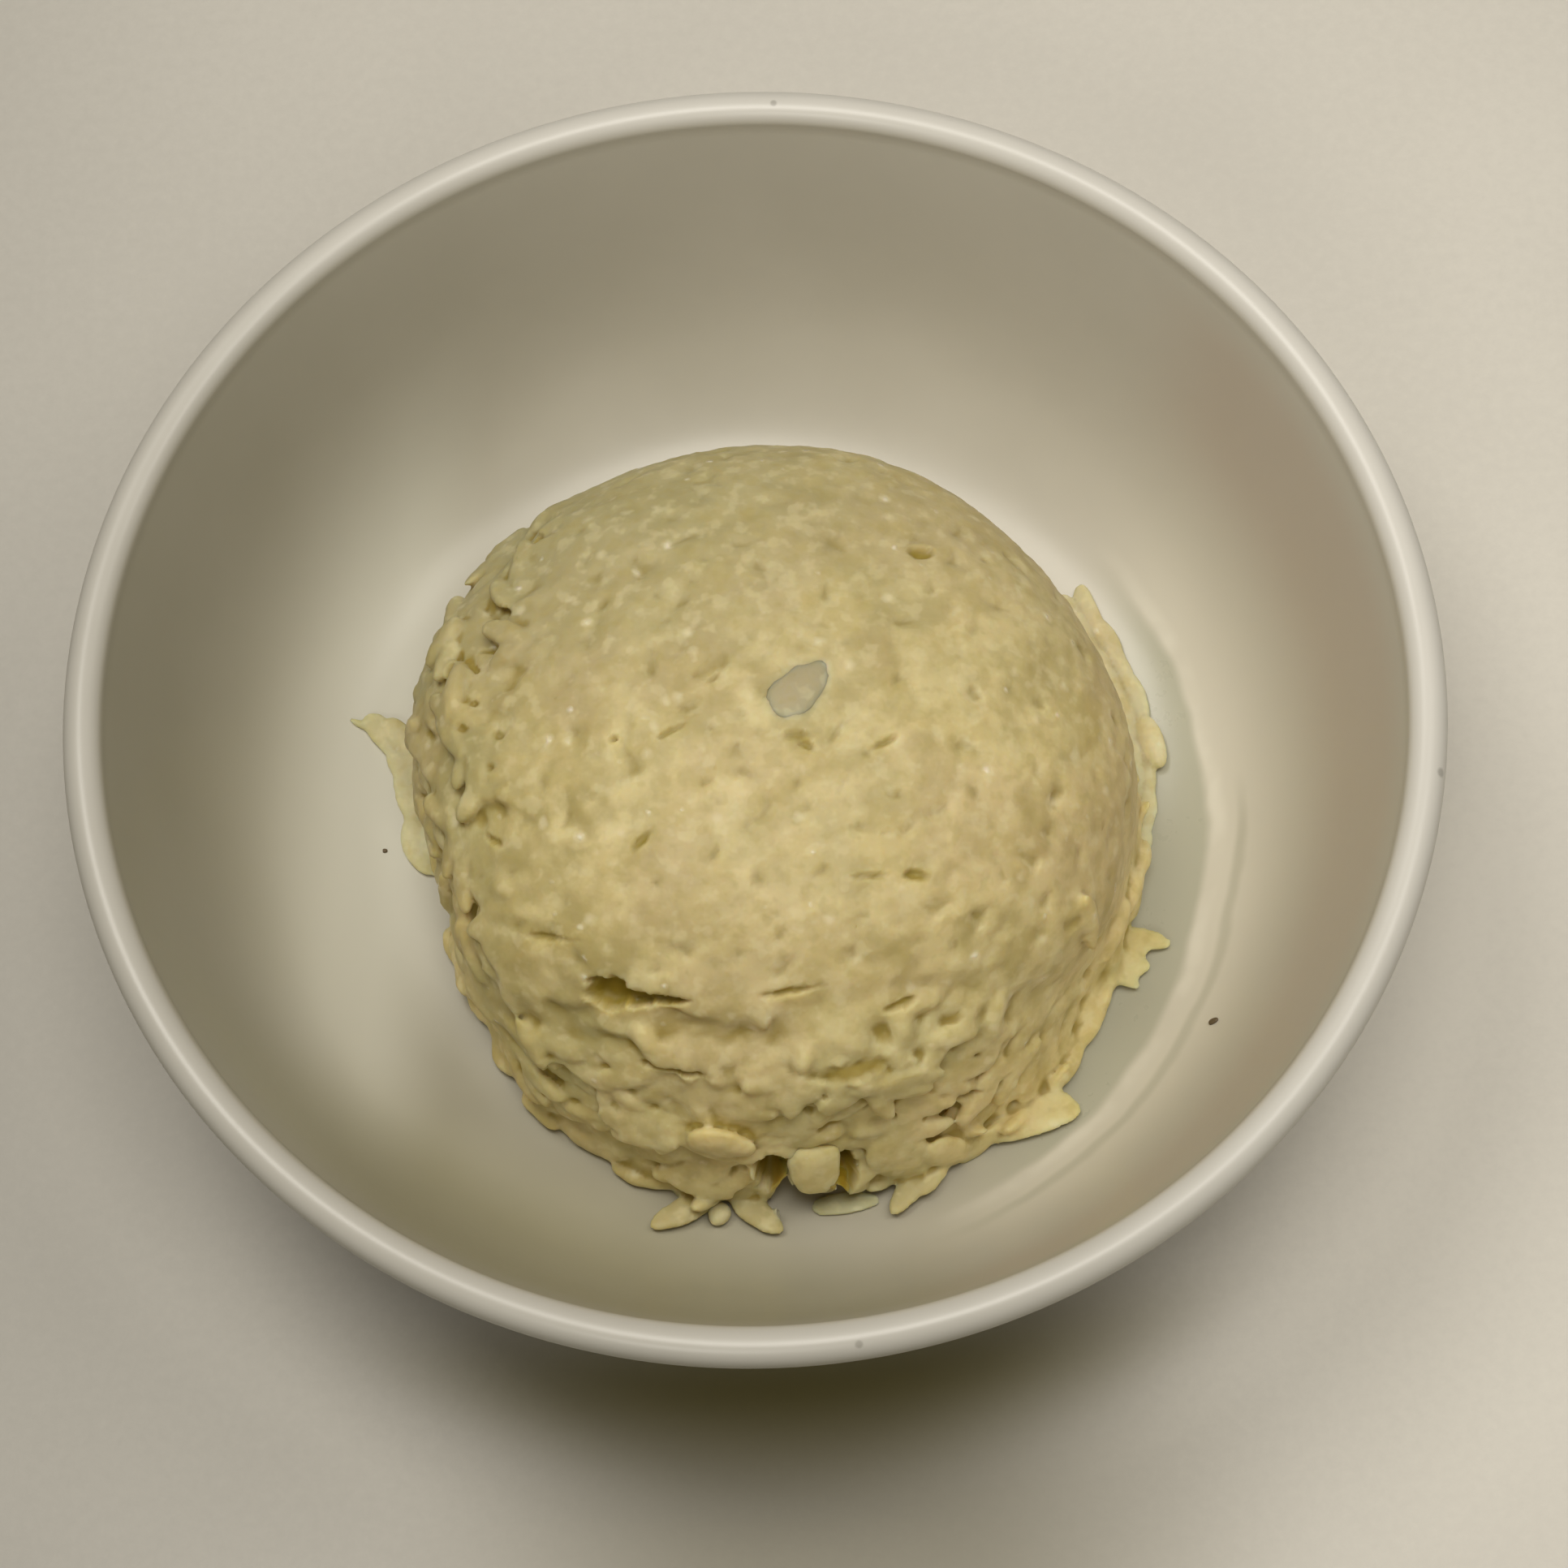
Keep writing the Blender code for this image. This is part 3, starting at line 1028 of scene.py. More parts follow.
def bowl_up(points):
    """The direction straight out of the glaze under each point."""
    radius = np.hypot(points[:, 0], points[:, 1])
    further = points * [1, 1, 0] * ((radius + SMALL_STEP) / radius)[:, None]
    slope = (floor_height(further) - floor_height(points)) / SMALL_STEP
    inward = -points[:, :2] / radius[:, None] * slope[:, None]
    return unit(np.column_stack([inward, np.ones(len(points))]))


def on_floor(rows):
    """Centres, directions, outward ways and sizes of grains that rest in the bowl."""
    rows = np.array(rows) * MM
    ends = [np.column_stack([rows[:, k:k + 2], np.zeros(len(rows))]) for k in (0, 2)]
    for end in ends:
        end[:, 2] = floor_height(end)
    centres = (ends[0] + ends[1]) / 2
    along = ends[1] - ends[0]
    sizes = np.column_stack([np.linalg.norm(along, axis=1), rows[:, 4], rows[:, 5]])
    along = unit(along)
    up = bowl_up(centres)
    up = unit(up - along * (up * along).sum(1)[:, None])
    sag = floor_height(centres) - centres[:, 2]
    centres += up * (rows[:, 6] + rows[:, 5] / 2 + sag)[:, None]
    return centres, along, up, sizes


print(len(FOOT_GRAINS), "grains laid at the foot")

# %% Grains on the heap
FLANK_GRAINS = (
    # one end, other end, width, thickness, how far its middle stands out (mm)
    (47.2, -7.0, 11.0, 45.0, -12.4, 14.0, 2.8, 1.9, 0.3),
    (45.4, -11.0, 13.5, 42.6, -17.4, 15.0, 3.0, 1.9, 0.4),
    (43.2, -16.0, 17.0, 40.0, -23.4, 14.5, 3.3, 2.2, 0.5),
    (36.4, -21.6, 35.0, 38.0, -25.8, 26.0, 2.6, 1.8, 0.4),
    (-11.0, -44.4, 24.6, -2.8, -45.2, 22.8, 5.0, 2.2, 0.3),
    (11.6, -46.6, 20.0, 16.5, -47.5, 10.5, 7.4, 1.8, 0.6),
    (17.5, -45.6, 16.0, 21.5, -44.8, 9.5, 5.0, 1.6, 0.3),
)
PROUD_GRAINS = 70
PROUD_FROM = FLOOR_LEVEL + 3 * MM


def on_heap(rows):
    """The same for grains that lie on the surface of the heap."""
    rows = np.array(rows) * MM
    middle = (rows[:, 0:3] + rows[:, 3:6]) / 2
    found = [form.tree.find_nearest(Vector(point)) for point in middle]
    centres = np.array([place for place, *_ in found])
    up = np.array([normal for _, normal, *_ in found])
    along = rows[:, 3:6] - rows[:, 0:3]
    sizes = np.column_stack([np.linalg.norm(along, axis=1), rows[:, 6], rows[:, 7]])
    along = unit(along - up * (up * along).sum(1)[:, None])
    level = skin_level(centres, flakes_at(centres))
    return centres + up * (level + rows[:, 8])[:, None], along, up, sizes


def proud(number):
    """Grains picked at random from the rough places, half out of the heap."""
    chance = rough ** 2 * (places[:, 2] > PROUD_FROM)
    picks = rng.choice(count, number, replace=False, p=chance / chance.sum())
    ways = tilted(along[picks], outward[picks], rng.normal(0, 0.10, number))
    ups = unit(outward[picks] - ways * (outward[picks] * ways).sum(1)[:, None])
    level = skin_level(places[picks], flakes[picks])
    raised = level + rng.uniform(-1.2, -0.55, number) * MM
    return places[picks] + outward[picks] * raised[:, None], ways, ups, grain_sizes(number)


def loose_copies(ends, centres, along, up, sizes, bend=0.25):
    shape, faces = grain_shape(*FINE_MESH, ends)
    bends = rng.normal(0, bend, len(sizes)) * MM
    return joined(lay_grains(shape, centres, along, up, sizes, bends), faces)


def together(parts):
    """Several lists of points and faces as one."""
    starts = np.cumsum([0] + [len(points) for points, _ in parts])
    faces = [faces + start for (_, faces), start in zip(parts, starts)]
    return np.vstack([points for points, _ in parts]), np.vstack(faces)


foot_grains = on_floor(FOOT_GRAINS)
flank_grains = on_heap(FLANK_GRAINS)
proud_grains = proud(PROUD_GRAINS)
laid_points, laid_faces = together([
    loose_copies(POINTED, *foot_grains),
    loose_copies(PLUMP, *flank_grains),
    loose_copies(PLUMP, *proud_grains),
])
print(len(laid_faces), "triangles in the grains that stand out")

# %% [markdown]
# ## Sticking together
#
# Cooked grains stick: starch fills the narrowest gaps, and neighbours run into each other. A voxel
# remesh does the same. It wraps core and grains in one skin and rounds every groove to the voxel's
# size. The pressed round was also wiped smooth by the wet cup, so it is ironed further than the rest,
# by moving each point towards the mean of its neighbours. The edge of the crack is ironed too, as the
# soft skin stretched there before it tore, and one place just below the crack is wiped quite smooth.

# %% Stick them together


class Neighbours:
    """Averages of values over the points that each point of a mesh is joined to."""

    def __init__(self, points, triangles):
        self.count = len(points)
        edges = np.vstack([triangles[:, [0, 1]], triangles[:, [1, 2]], triangles[:, [2, 0]]])
        self.start = np.concatenate([edges[:, 0], edges[:, 1]])
        self.end = np.concatenate([edges[:, 1], edges[:, 0]])
        self.shares = np.bincount(self.start, minlength=self.count)

    def mean(self, values, rounds=1):
        for _ in range(rounds):
            values = np.bincount(self.start, values[self.end], self.count) / self.shares
        return values

    def mean_places(self, places, rounds=1):
        return np.stack([self.mean(places[:, k], rounds) for k in range(3)], 1)

    def ironed(self, places, share, rounds):
        """Places moved towards the mean of their neighbours, each by its share."""
        for _ in range(rounds):
            places = places + (self.mean_places(places) - places) * share[:, None]
        return places


VOXEL = 0.34 * MM
CRACK_EDGE, CRACK_REACH = 2.6 * MM, 4.4 * MM
WIPED, WIPED_REACH = np.array(Vector((-1.7, -36.7, 39.5)) * MM), 5 * MM
ROUND_ROUNDS, CRACK_ROUNDS, WIPED_ROUNDS = 3, 8, 50

all_points, all_faces = together([
    (core_points, form.triangles), (layer_points, layer_faces), (laid_points, laid_faces)])
stuck_points, stuck_faces = through_modifiers(all_points, all_faces, [
    ("REMESH", {"mode": "VOXEL", "voxel_size": VOXEL}),
    ("SMOOTH", {"factor": 0.5, "iterations": 2}),
])
print(len(stuck_faces), "triangles in the stuck heap")

# %% Iron the pressed round and the crack
joins = Neighbours(stuck_points, stuck_faces)
stuck_points = joins.ironed(stuck_points, 1 - roughness_of(stuck_points), ROUND_ROUNDS)
from_edge = np.abs(below_crack(stuck_points) - CRACK_EDGE)
stuck_points = joins.ironed(stuck_points, step(1.4 - from_edge / CRACK_REACH), CRACK_ROUNDS)
from_wiped = np.linalg.norm(stuck_points - WIPED, axis=1)
stuck_points = joins.ironed(stuck_points, step(1.5 - from_wiped / WIPED_REACH), WIPED_ROUNDS)
print("ironed", len(stuck_points), "points")

# %% [markdown]
# ## Gaps and pits
#
# Here and there a grain is missing, or two do not quite meet. Each hole is an oval dent, given by a
# place near the surface, its direction as seen from above, its size and its depth, and it is later
# painted dark and yellow as shade, standing in for light that has gone through a lot of rice. The
# largest lies in the crack itself. At the foot of the front the heap is hollow under a hanging flap. The
# walls of a deep dent are stretched, so they are ironed, and then the whole skin is made a little
# uneven, as broken starchy grains are.

# %% Where the gaps are
GAPS = (
    # place (mm), direction in degrees, half length, half width, depth (mm)
    (20.9, 18.4, 45.9, 10, 1.8, 0.9, 0.7),
    (-35.9, 8.9, 39.8, 60, 1.6, 0.8, 1.0),
    (-31.8, 11.3, 42.7, -20, 1.5, 0.5, 0.6),
    (-16.6, -4.5, 49.3, 0, 0.5, 0.45, 0.8),
    (-10.0, -4.4, 50.3, 25, 1.7, 0.45, 0.45),
    (-4.6, 2.0, 50.6, 40, 1.0, 0.4, 0.3),
    (14.7, -7.1, 49.1, 25, 1.7, 0.5, 0.45),
    (-14.0, -16.9, 48.2, 45, 1.8, 0.6, 0.5),
    (-31.7, -13.3, 42.0, -30, 1.6, 0.5, 0.6),
    (17.3, -22.4, 45.9, -15, 1.6, 0.7, 0.7),
    (12.0, -22.6, 47.0, 0, 2.4, 0.5, 0.35),
    (-19.2, -32.4, 39.1, 0, 2.5, 2.0, 2.8),
    (-16.8, -33.0, 39.3, -5, 2.6, 1.2, 2.2),
    (-14.0, -33.4, 39.7, -5, 4.0, 0.6, 1.7),
    (2.0, -32.6, 39.5, 8, 3.6, 0.5, 0.6),
    (14.5, -34.6, 37.5, 20, 2.4, 0.6, 0.6),
    (-26.0, -26.0, 42.0, -5, 3.5, 0.4, 0.5),
    (8.0, -39.0, 32.5, 5, 5.5, 1.3, 0.5),
    (-12.1, -40.4, 32.9, -12, 4.2, 0.5, 0.8),
    (21.1, -42.3, 20.8, 8, 3.2, 0.8, 1.6),
    (4.8, -5.9, 50.2, 0, 1.7, 0.7, 0.4),
    (5.8, -7.1, 50.2, -40, 1.2, 0.6, 0.5),
    (3.2, -48.2, 8.8, 0, 4.5, 4.3, 4.2),
    (-1.4, -47.6, 16.0, 0, 2.0, 4.2, 4.6),
    (7.3, -47.8, 15.2, 0, 1.3, 3.2, 3.8),
)
print(len(GAPS), "gaps")

# %% The shape of a dent
# On the oval itself the reach is 1. The dent ends a little beyond it, with a ragged edge, and a deep
# dent has steeper walls than a shallow one.
DENT_EDGE, DENT_FURTHEST = 1.25, 1.6
DENT_THICKNESS = 4 * MM
RAGGED, RAGGED_SIZE = 0.33, 1.2 * MM
DEEP = 1.2 * MM
DEEP_SOFTNESS, SHALLOW_SOFTNESS = 0.6, 0.8


def dent(points, place, normal, direction, half_length, half_width, depth):
    """How deep each point sinks in an oval dent, from 0 outside it to its full depth."""
    angle = math.radians(direction)
    long_way = np.array([math.cos(angle), math.sin(angle), 0])
    long_way -= normal * long_way.dot(normal)
    long_way /= np.linalg.norm(long_way)
    cross_way = np.cross(normal, long_way)
    near = points - place
    reach = np.hypot(near @ long_way / half_length, near @ cross_way / half_width)
    close = (reach < DENT_FURTHEST) & (np.abs(near @ normal) < DENT_THICKNESS)
    ragged = reach[close] + RAGGED * soft_noise(points[close], RAGGED_SIZE, 5)
    softness = DEEP_SOFTNESS if depth > DEEP else SHALLOW_SOFTNESS
    sinking = np.zeros(len(points))
    sinking[close] = depth * step((DENT_EDGE - ragged) / softness)
    return sinking


def dig(points):
    """How far and which way each point sinks in the gaps, and how much painted shade it gets there from 0
    to 1.
    """
    sunk = np.zeros(len(points))
    shade = np.zeros(len(points))
    ways = np.zeros((len(points), 3))
    for *spot, direction, half_length, half_width, depth in GAPS:
        place, normal = (np.array(found) for found in form.tree.find_nearest(Vector(spot) * MM)[:2])
        lengths = [length * MM for length in (half_length, half_width, depth)]
        hole = dent(points, place, normal, direction, *lengths)
        shade = np.maximum(shade, np.clip(hole / lengths[-1], 0, 1) * min(1, 0.3 + 0.4 * depth))
        deeper = hole > sunk
        sunk[deeper] = hole[deeper]
        ways[deeper] = -normal
    return sunk, ways, shade


print(sum(depth * MM > DEEP for *_, depth in GAPS), "gaps are deep")

# %% Dig the gaps
STRETCH_ROUNDS = 8
UNEVEN = (
    # height, size, seed of the noise (mm)
    (0.14, 2.0, 9),
    (0.09, 1.1, 10),
)

sunk, ways, _ = dig(stuck_points)
stuck_points = stuck_points + ways * sunk[:, None]
stretched = np.clip(joins.mean(sunk, 6) / (2 * MM) - 0.6, 0, 1)
stuck_points = joins.ironed(stuck_points, stretched, STRETCH_ROUNDS)
uneven = sum(height * soft_noise(stuck_points, size * MM, seed) for height, size, seed in UNEVEN)
stuck_points += normals_of(stuck_points, stuck_faces) * uneven[:, None] * MM
print("deepest gap", round(float(sunk.max() / MM), 1), "mm")

# %% [markdown]
# ## Thinning the mesh
#
# The remesh puts as many triangles on the flat underside as on the finest groove. Decimate collapses
# the edges that matter least, so the detail stays where it is seen and about a third of the count is
# left. It can leave two triangles on the same three corners, so the mesh is validated when it is
# shown, which drops one of each such pair.

# %% Thin the mesh
HEAP_TRIANGLES = 190000
CLEAR_OF_GLAZE = 0.05 * MM


def above_glaze(points):
    """Points with those that dip into the bowl raised just clear of it."""
    heights = np.maximum(points[:, 2], floor_height(points) + CLEAR_OF_GLAZE)
    return np.column_stack([points[:, :2], heights])


heap_points, heap_faces = through_modifiers(above_glaze(stuck_points), stuck_faces, [
    ("DECIMATE", {"ratio": min(1.0, HEAP_TRIANGLES / len(stuck_faces))}),
])
print(len(heap_faces), "triangles in the heap")

# %% [markdown]
# ## What the finish needs to know at each point
#
# Five numbers are stored on the mesh. The depth below the skin drives painted shade, from cream on top
# of a grain to amber far in. The hollow, how far a point lies below its neighbours, draws painted shade
# in the fine grooves. The tone belongs to the nearest grain, since some cook clearer and some whiter,
# and it is softened a little, since stuck grains share their starch. The open number is high where the
# heap is loose, except on the pale grains at its foot, and the gap number is high in the gaps dug
# above, where it drives their painted shade.

# %% Measure depth, hollows and tone


def hollows(points, triangles, neighbours):
    """How far each point lies below the mean of its neighbours, in millimetres."""
    mean = neighbours.mean_places(points, 5)
    hollow = ((mean - points) * normals_of(points, triangles)).sum(1)
    return neighbours.mean(hollow, 2) / MM


def nearest_grains(points, centres, ways):
    """The grain nearest to each point, each grain standing as three places along it."""
    shifts = (np.arange(3) - 1)[None, :, None] * 2.2 * MM
    tree = tree_of((centres[:, None] + ways[:, None] * shifts).reshape(-1, 3))
    return np.array([tree.find(point)[1] // 3 for point in points])


neighbours = Neighbours(heap_points, heap_faces)
_, outside = form.nearest(heap_points)
depth = (skin_level(heap_points, flakes_at(heap_points)) - outside) / MM
hollow = hollows(heap_points, heap_faces, neighbours)
gap = neighbours.mean(dig(heap_points)[2], 1)
print("hollow", np.percentile(hollow, [1, 50, 99]).round(3), "depth", depth.max().round(2))

# %% The tone of the grains
layer_tones = rng.normal(0.5, 0.25, count)
foot_tones = rng.uniform(0.30, 0.55, len(FOOT_GRAINS)) + step(foot_grains[0][:, 0] / (30 * MM)) * 0.55
flank_tones = rng.uniform(0.5, 0.8, len(FLANK_GRAINS))
proud_tones = rng.normal(0.6, 0.25, PROUD_GRAINS)
kinds = (
    # places, ways, tones, how open the heap looks at them
    (places, along, layer_tones, 1.0),
    (*foot_grains[:2], foot_tones, 0.1),
    (*flank_grains[:2], flank_tones, 0.3),
    (*proud_grains[:2], proud_tones, 1.0),
)
grain_places, grain_ways, grain_tones = (np.concatenate([kind[k] for kind in kinds]) for k in range(3))
grain_open = np.concatenate([np.full(len(kind[0]), kind[3]) for kind in kinds])
owners = nearest_grains(heap_points, grain_places, grain_ways)
tone = neighbours.mean(grain_tones[owners], 2)
open_part = roughness_of(heap_points) * neighbours.mean(grain_open[owners], 2)
print(len(grain_tones), "grains with a tone")

# %% [markdown]
# ## Cooked rice
#
# Cooked rice is milky: light goes in, wanders and comes out a little further on, and comes out warmer.
# Subsurface scattering gives that, with a longer way for red than for blue. The colour is laid in
# steps. Each grain is whiter or duller by its tone, and painted light makes the right side whiter.
# Broad patches turn it green, pink or yellow. Painted shade makes the back of the heap, its loose
# parts and the grains lying in front duller, and painted light makes the middle of its top and the
# slumped front lighter. Then come broken flecks, light and dark, and larger pale spots. Painted shade
# deepens the grooves and gaps to yellow and amber, standing in for light that has passed through several
# grains. A film of starchy water gives a soft sheen and spots that are less rough, and small sharp
# glints are painted on them in white.

# %% Broad tones of the rice
RICE = {
    # linear red, green and blue
    "green": (0.480, 0.450, 0.210),
    "pink": (0.620, 0.480, 0.255),
    # loose, back, middle, back left and petals are painted light and shade; green, pink and yellow are the
    # rice's own tone
    "loose": (0.400, 0.340, 0.145),
    "back": (0.480, 0.410, 0.220),
    "middle": (0.800, 0.700, 0.390),
    "yellow": (0.600, 0.478, 0.180),
    "back left": (0.430, 0.400, 0.210),
    "petal_painted_shade": (0.400, 0.365, 0.190),
    "light fleck": (0.880, 0.790, 0.480),
    "dark fleck": (0.470, 0.380, 0.130),
    "pale spot": (0.900, 0.815, 0.540),
    # painted shade in the grooves, far in and in the gaps
    "painted_groove_shade": (0.370, 0.262, 0.045),
    "painted shade far in": (0.360, 0.260, 0.030),
    # painted highlight of the glints
    "painted glint": (0.960, 0.900, 0.730),
    "gap": (0.380, 0.275, 0.040),
    "painted shade at the bottom of a gap": (0.310, 0.215, 0.014),
}


def broad_tones_and_painted_light(finish, open_part, side):
    """Soft changes over a centimetre or more, some of them painted light and shade: shares and colours."""
    patches = finish.grain(17 * MM, 2.0)
    yellow = finish.grain(7 * MM, 4.0, 0.6).between(0.50, 0.62)
    height = finish.along((0.0, 0.0, 1.0))
    forward = finish.along((0.0, -1.0, 0.0))
    # masks for painted light and shade: the back, the slumped front, the middle of the top, the petals and
    # the loose parts
    back = finish.along((0.0, 1.0, 0.0)).between(-12 * MM, 30 * MM)
    front = forward.between(30 * MM, 46 * MM) * height.between(12 * MM, 18 * MM)
    middle = 1 - finish.distance((2 * MM, -18 * MM, 47 * MM)).between(6 * MM, 26 * MM)
    petal_painted_shade = forward.between(46 * MM, 50 * MM) * (1 - height.between(11.5 * MM, 15 * MM))
    loose = open_part * (1 - side * 0.8)
    return [
        (patches.between(0.46, 0.62) * (open_part * 0.30 + 0.12), RICE["green"]),
        ((1 - patches).between(0.46, 0.64) * 0.4, RICE["pink"]),
        # painted shade on the loose parts, less on the right and on the slumped front
        (loose * 0.15 * (1 - front), RICE["loose"]),
        # painted shade on the back of the heap
        (back * 0.45, RICE["back"]),
        # painted light on the middle of the top and on the slumped front
        (middle * 0.30 + front * 0.25, RICE["middle"]),
        (yellow * 0.36, RICE["yellow"]),
        # painted shade on the back left
        (back * (1 - side) * 0.55, RICE["back left"]),
        # painted shade on the petals in front
        (petal_painted_shade * 0.6, RICE["petal_painted_shade"]),
    ]


print(len(RICE), "colours in the rice")

# %% Painted glints and pale spots
SPOT_SPACING = 3.0 * MM


def painted_glints_and_pale_spots(finish, mottle):
    """Small wet spots with painted glints, and larger pale spots, each at some of the same scattered
    places.
    """
    scattered = {"Vector": finish.here(), "Scale": 1 / SPOT_SPACING}
    chance = finish.node("ShaderNodeTexVoronoi", {}, scattered, out="Color")
    from_place = finish.node("ShaderNodeTexVoronoi", {}, scattered, out="Distance") + mottle * 0.5
    wet_spot_painted_glint = (1 - from_place * 2.5).between(0, 0.5) * finish.part_of(chance, "X").between(0.45, 0.95)
    pale = (1 - from_place * 1.7).between(0, 0.5) * finish.part_of(chance, "Y").between(0.60, 0.72)
    return wet_spot_painted_glint, pale


print("spots", round(SPOT_SPACING / MM, 1), "mm apart")

# %% Rice finish
MILKINESS = {
    "Specular IOR Level": 0.38,
    "Subsurface Weight": 0.75,
    "Subsurface Radius": (1.0, 0.70, 0.34),
    "Subsurface Scale": 3.0 * MM,
}


def rice_finish(name, light_colour, dull_colour):
    finish = Finish(name)
    open_part, gap = finish.stored("open"), finish.stored("gap")
    clouds = finish.grain(4 * MM, 3.0)
    mottle = finish.grain(1.6 * MM, 2.0)
    flecks = finish.grain(2.3 * MM, 2.0, 0.5)
    side = finish.along((1.0, 0.0, 0.0)).between(-34 * MM, 40 * MM)
    wet_spot_painted_glint, pale = painted_glints_and_pale_spots(finish, mottle)
    # painted light: the right side is whiter; the tone, clouds and mottle are the grains' own
    whiteness = finish.stored("tone") * 1.2 + clouds * 0.6 + mottle * 0.5 + side * 0.25 - 0.80
    painted_groove_shade = finish.stored("hollow").between(0.02, 0.15) * (open_part * 0.40 + 0.50)
    finish.set(
        base_color=finish.painted(dull_colour, [
            (whiteness.between(0.0, 0.95), light_colour),
            *broad_tones_and_painted_light(finish, open_part, side),
            (flecks.between(0.52, 0.68) * 0.26, RICE["light fleck"]),
            ((1 - flecks).between(0.52, 0.68) * 0.30, RICE["dark fleck"]),
            (pale * 0.45, RICE["pale spot"]),
            # painted shade in the grooves and far below the skin
            (painted_groove_shade, RICE["painted_groove_shade"]),
            (finish.stored("depth").between(0.8, 3.0), RICE["painted shade far in"]),
            # painted highlight: white glints on the wet spots
            (wet_spot_painted_glint * 0.70, RICE["painted glint"]),
            # painted shade in the gaps
            (gap.between(0.03, 0.55) * 0.85, RICE["gap"]),
            (gap.between(0.6, 1.0), RICE["painted shade at the bottom of a gap"]),
        ]),
        roughness=mottle * 0.14 + clouds * 0.10 + 0.44 - wet_spot_painted_glint.between(0, 0.3) * 0.34,
        normal=finish.bump(mottle * 0.3 + flecks * 0.5 + wet_spot_painted_glint * 0.6, 0.18 * MM, 0.9))
    for socket, value in MILKINESS.items():
        finish.shader.inputs[socket].default_value = value
    return finish.material


stuck_rice = rice_finish("stuck_rice", (0.770, 0.645, 0.320), (0.530, 0.428, 0.175))
print(len(stuck_rice.node_tree.nodes), "nodes in the rice")

# %% Show the stuck heap


def add_rice(name, points, faces, material, **numbers):
    """Show rice as a piece, with the numbers that its finish reads, one for all points or for each."""
    mesh = new_mesh(name, points, faces)
    mesh.validate()
    for number, values in numbers.items():
        values = np.ascontiguousarray(np.broadcast_to(values, len(points)), np.float32)
        mesh.attributes.new(number, "FLOAT", "POINT").data.foreach_set("value", values)
    add_piece(name, mesh, material, "rice")
    print(len(mesh.polygons), "triangles in", name)


add_rice("stuck_grains", heap_points, heap_faces, stuck_rice,
         depth=depth, hollow=hollow, tone=tone, open=open_part, gap=gap)

# %% [markdown]
# ## Strips of squashed grains
#
# To the left and right of the heap the rim of the cup has squashed a row of grains flat against the
# glaze, so that they run into each other as one pale strip. Grains are laid along a path, each
# overlapping the next by half, in two rows, and stuck in the same way as the heap. A few more lie at
# the ends of the strips, and two lie in front: a flat one, and a small round one between the petals.

# %% Strips of squashed grains
LEFT_STRIP = ((-49.0, 16.8), (-46.2, 14.0), (-44.6, 9.0), (-43.9, 4.0), (-43.7, -0.6), (-42.4, -3.2))
RIGHT_STRIP = ((42.2, 29.0), (43.6, 26.4), (45.6, 21.8), (47.6, 16.2), (49.0, 11.0), (49.2, 5.0),
               (48.4, -1.0), (46.8, -7.0), (44.6, -12.0), (42.4, -17.0))
STRIPS = (
    # path, how far it is moved inward, width, thickness (mm)
    (LEFT_STRIP, 0.2, 3.5, 1.3),
    (LEFT_STRIP, 2.4, 3.4, 1.8),
    (RIGHT_STRIP, 0.0, 2.8, 1.5),
    (RIGHT_STRIP, 2.2, 3.0, 2.4),
)
LONE_GRAINS = (
    # one end, other end, width, thickness, gap below (mm)
    (-51.6, 17.2, -46.6, 15.4, 1.2, 0.7, 0.1),
    (-43.9, -1.0, -40.2, -4.6, 1.8, 1.1, 0.0),
    (49.2, 10.8, 51.0, 3.6, 3.3, 2.2, 0.3),
    (3.0, -50.5, 11.4, -50.0, 3.2, 0.9, 0.0),
    (-8.2, -49.4, -8.4, -52.5, 2.9, 2.0, 0.1),
)
SQUASHED_SPACING = 2.5 * MM


def along_path(corners, inward, width, thickness):
    """Rows for grains laid end over end along a path, moved in towards the middle of the bowl."""
    corners = np.array(corners) * MM
    lengths = np.linalg.norm(np.diff(corners, axis=0), axis=1)
    reach = np.concatenate([[0], np.cumsum(lengths)])
    stops = np.arange(SQUASHED_SPACING, reach[-1], SQUASHED_SPACING)
    middle, before, after = (
        np.column_stack([np.interp(stops + shift, reach, corners[:, k]) for k in (0, 1)])
        for shift in (0, -1 * MM, 1 * MM))
    ways = unit(after - before)
    middle -= unit(middle) * (inward * MM + rng.normal(0, 0.2 * MM, len(stops)))[:, None]
    half = rng.uniform(2.6, 3.6, len(stops))[:, None] * MM
    turns = rng.normal(0, 0.12, len(stops))[:, None]
    ways = ways + turns * ways[:, ::-1] * [-1, 1]
    widths = rng.uniform(0.85, 1.15, (len(stops), 2)) * [width, thickness] * MM
    gaps = np.zeros((len(stops), 1))
    return np.hstack([middle - ways * half, middle + ways * half, widths, gaps]) / MM


strip_rows = np.vstack([*(along_path(*strip) for strip in STRIPS), LONE_GRAINS])
print(len(strip_rows), "squashed grains")

# %% Stick the strips together
STRIP_VOXEL = 0.26 * MM

strip_points, strip_faces = through_modifiers(*loose_copies(FLAT, *on_floor(strip_rows)), [
    ("REMESH", {"mode": "VOXEL", "voxel_size": STRIP_VOXEL}),
    ("SMOOTH", {"factor": 0.5, "iterations": 3}),
])
strip_points = above_glaze(strip_points)
strip_hollow = hollows(strip_points, strip_faces, Neighbours(strip_points, strip_faces))
pale_rice = rice_finish("pale_rice", (0.800, 0.740, 0.490), (0.680, 0.620, 0.370))
add_rice("squashed_grains", strip_points, strip_faces, pale_rice,
         depth=0.0, hollow=strip_hollow, tone=0.6 + 0.3 * soft_noise(strip_points, 5 * MM, 6),
         open=0.0, gap=0.0)

# %% [markdown]
# ## A flap over the hollow
#
# In the middle of the front a few grains hang down together over the hollow at the foot, like a tab.

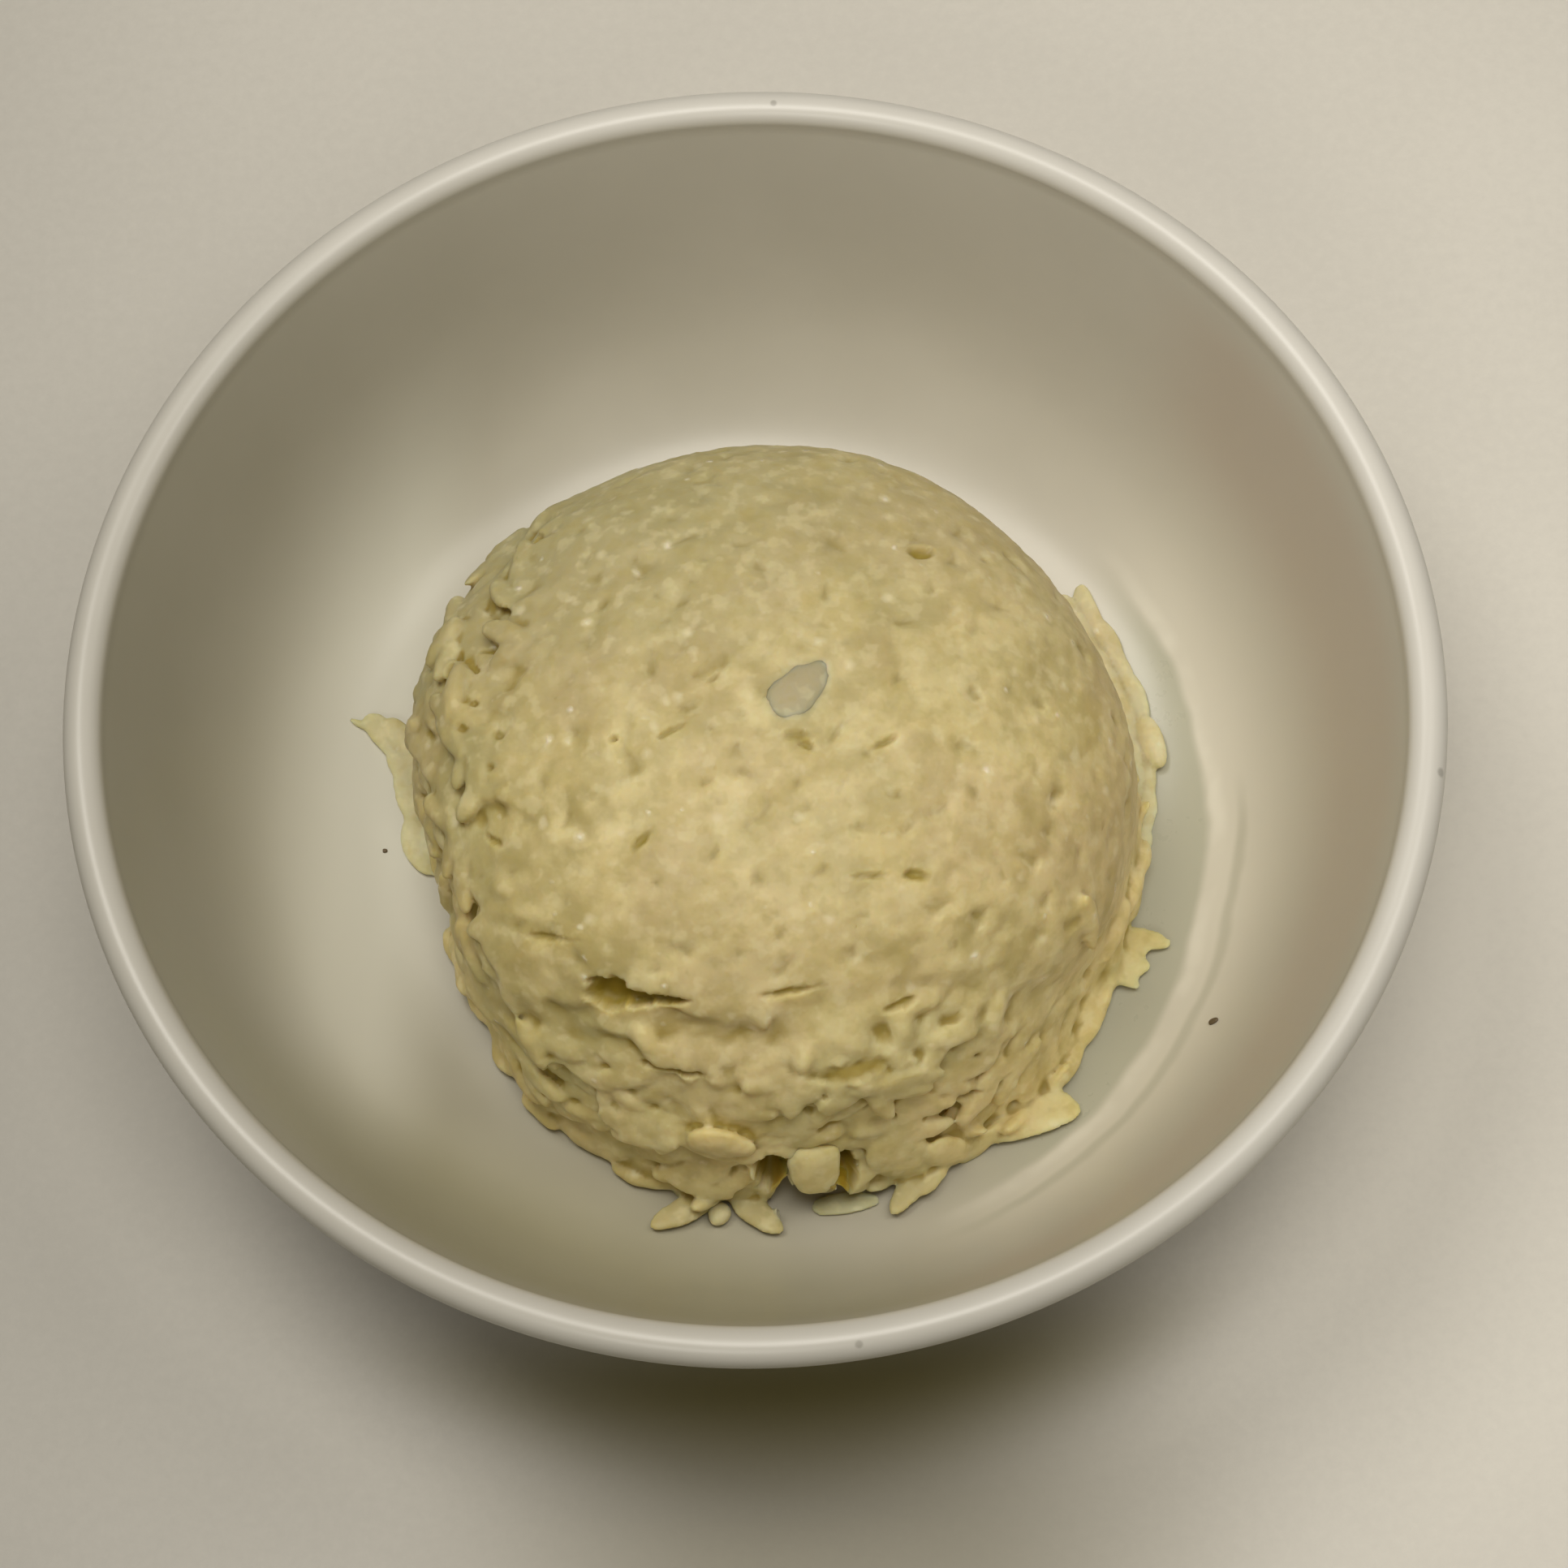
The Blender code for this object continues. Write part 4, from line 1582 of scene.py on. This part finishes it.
# %% Hanging flap
FLAP = (
    # one end, other end, width, thickness, how far its middle stands out (mm)
    (3.5, -46.6, 20.4, 3.7, -48.8, 14.4, 6.2, 2.2, 1.0),
)
FLAP_LEAN = 0.30

flap_points, flap_faces = loose_copies(BLUNT, *on_heap(FLAP), bend=0.0)
flap_points += 0.25 * MM * soft_noise(flap_points, 1.8 * MM, 8)[:, None]
flap_points[:, 1] += (flap_points[:, 2] - flap_points[:, 2].mean()) * FLAP_LEAN
add_rice("hanging_flap", flap_points, flap_faces, stuck_rice,
         depth=0.0, hollow=0.0, tone=0.6, open=0.5, gap=0.0)

# %% [markdown]
# ## One clear grain near the top
#
# Close to the top of the heap lies one grain that has burst and flattened into a clear, greyish oval.
# It holds less air than the others, so it looks darker, with a thin dark line where its edge sinks
# into its neighbours.

# %% Clear grain
CLEAR_GRAIN = (
    # one end, other end, width, thickness, how far its middle stands out (mm)
    (2.2, -3.0, 50.4, 8.4, 3.2, 50.2, 5.8, 1.2, -0.22),
)

clear_rice = rice_finish("clear_rice", (0.480, 0.405, 0.250), (0.440, 0.370, 0.225))
clear_points, clear_faces = loose_copies(OVAL, *on_heap(CLEAR_GRAIN), bend=0.0)
add_rice("clear_grain", clear_points, clear_faces, clear_rice,
         depth=0.0, hollow=0.0, tone=0.5, open=0.0, gap=0.0)

# %% [markdown]
# ## Crumbs
#
# A dark crumb is stuck to the wall of the bowl on the right, and a fainter, smaller one lies on its
# floor on the left. Each is a flattened lump of a millimetre or less.

# %% Crumbs
CRUMBS = (
    # place, width, thickness (mm)
    (53.1, -32.5, 0.95, 0.5),
    (-47.6, -0.3, 0.6, 0.4),
)
CRUMB = {
    # linear red, green and blue
    "dark": (0.090, 0.062, 0.030),
    "light": (0.160, 0.115, 0.060),
}


def crumb_finish():
    finish = Finish("brown_crumb")
    spots = finish.grain(0.5 * MM, 2.0)
    finish.set(base_color=finish.blend(spots, CRUMB["dark"], CRUMB["light"]), roughness=0.6)
    return finish.material


crumb_rows = [(x - w / 2, y, x + w / 2, y, w * 0.9, t, -0.15 * t) for x, y, w, t in CRUMBS]
crumb_points, crumb_faces = loose_copies(ROUND, *on_floor(crumb_rows), bend=0.0)
crumb_mesh = new_mesh("crumbs", crumb_points, crumb_faces)
add_piece("crumbs", crumb_mesh, crumb_finish(), "rice")
print(len(CRUMBS), "crumbs")
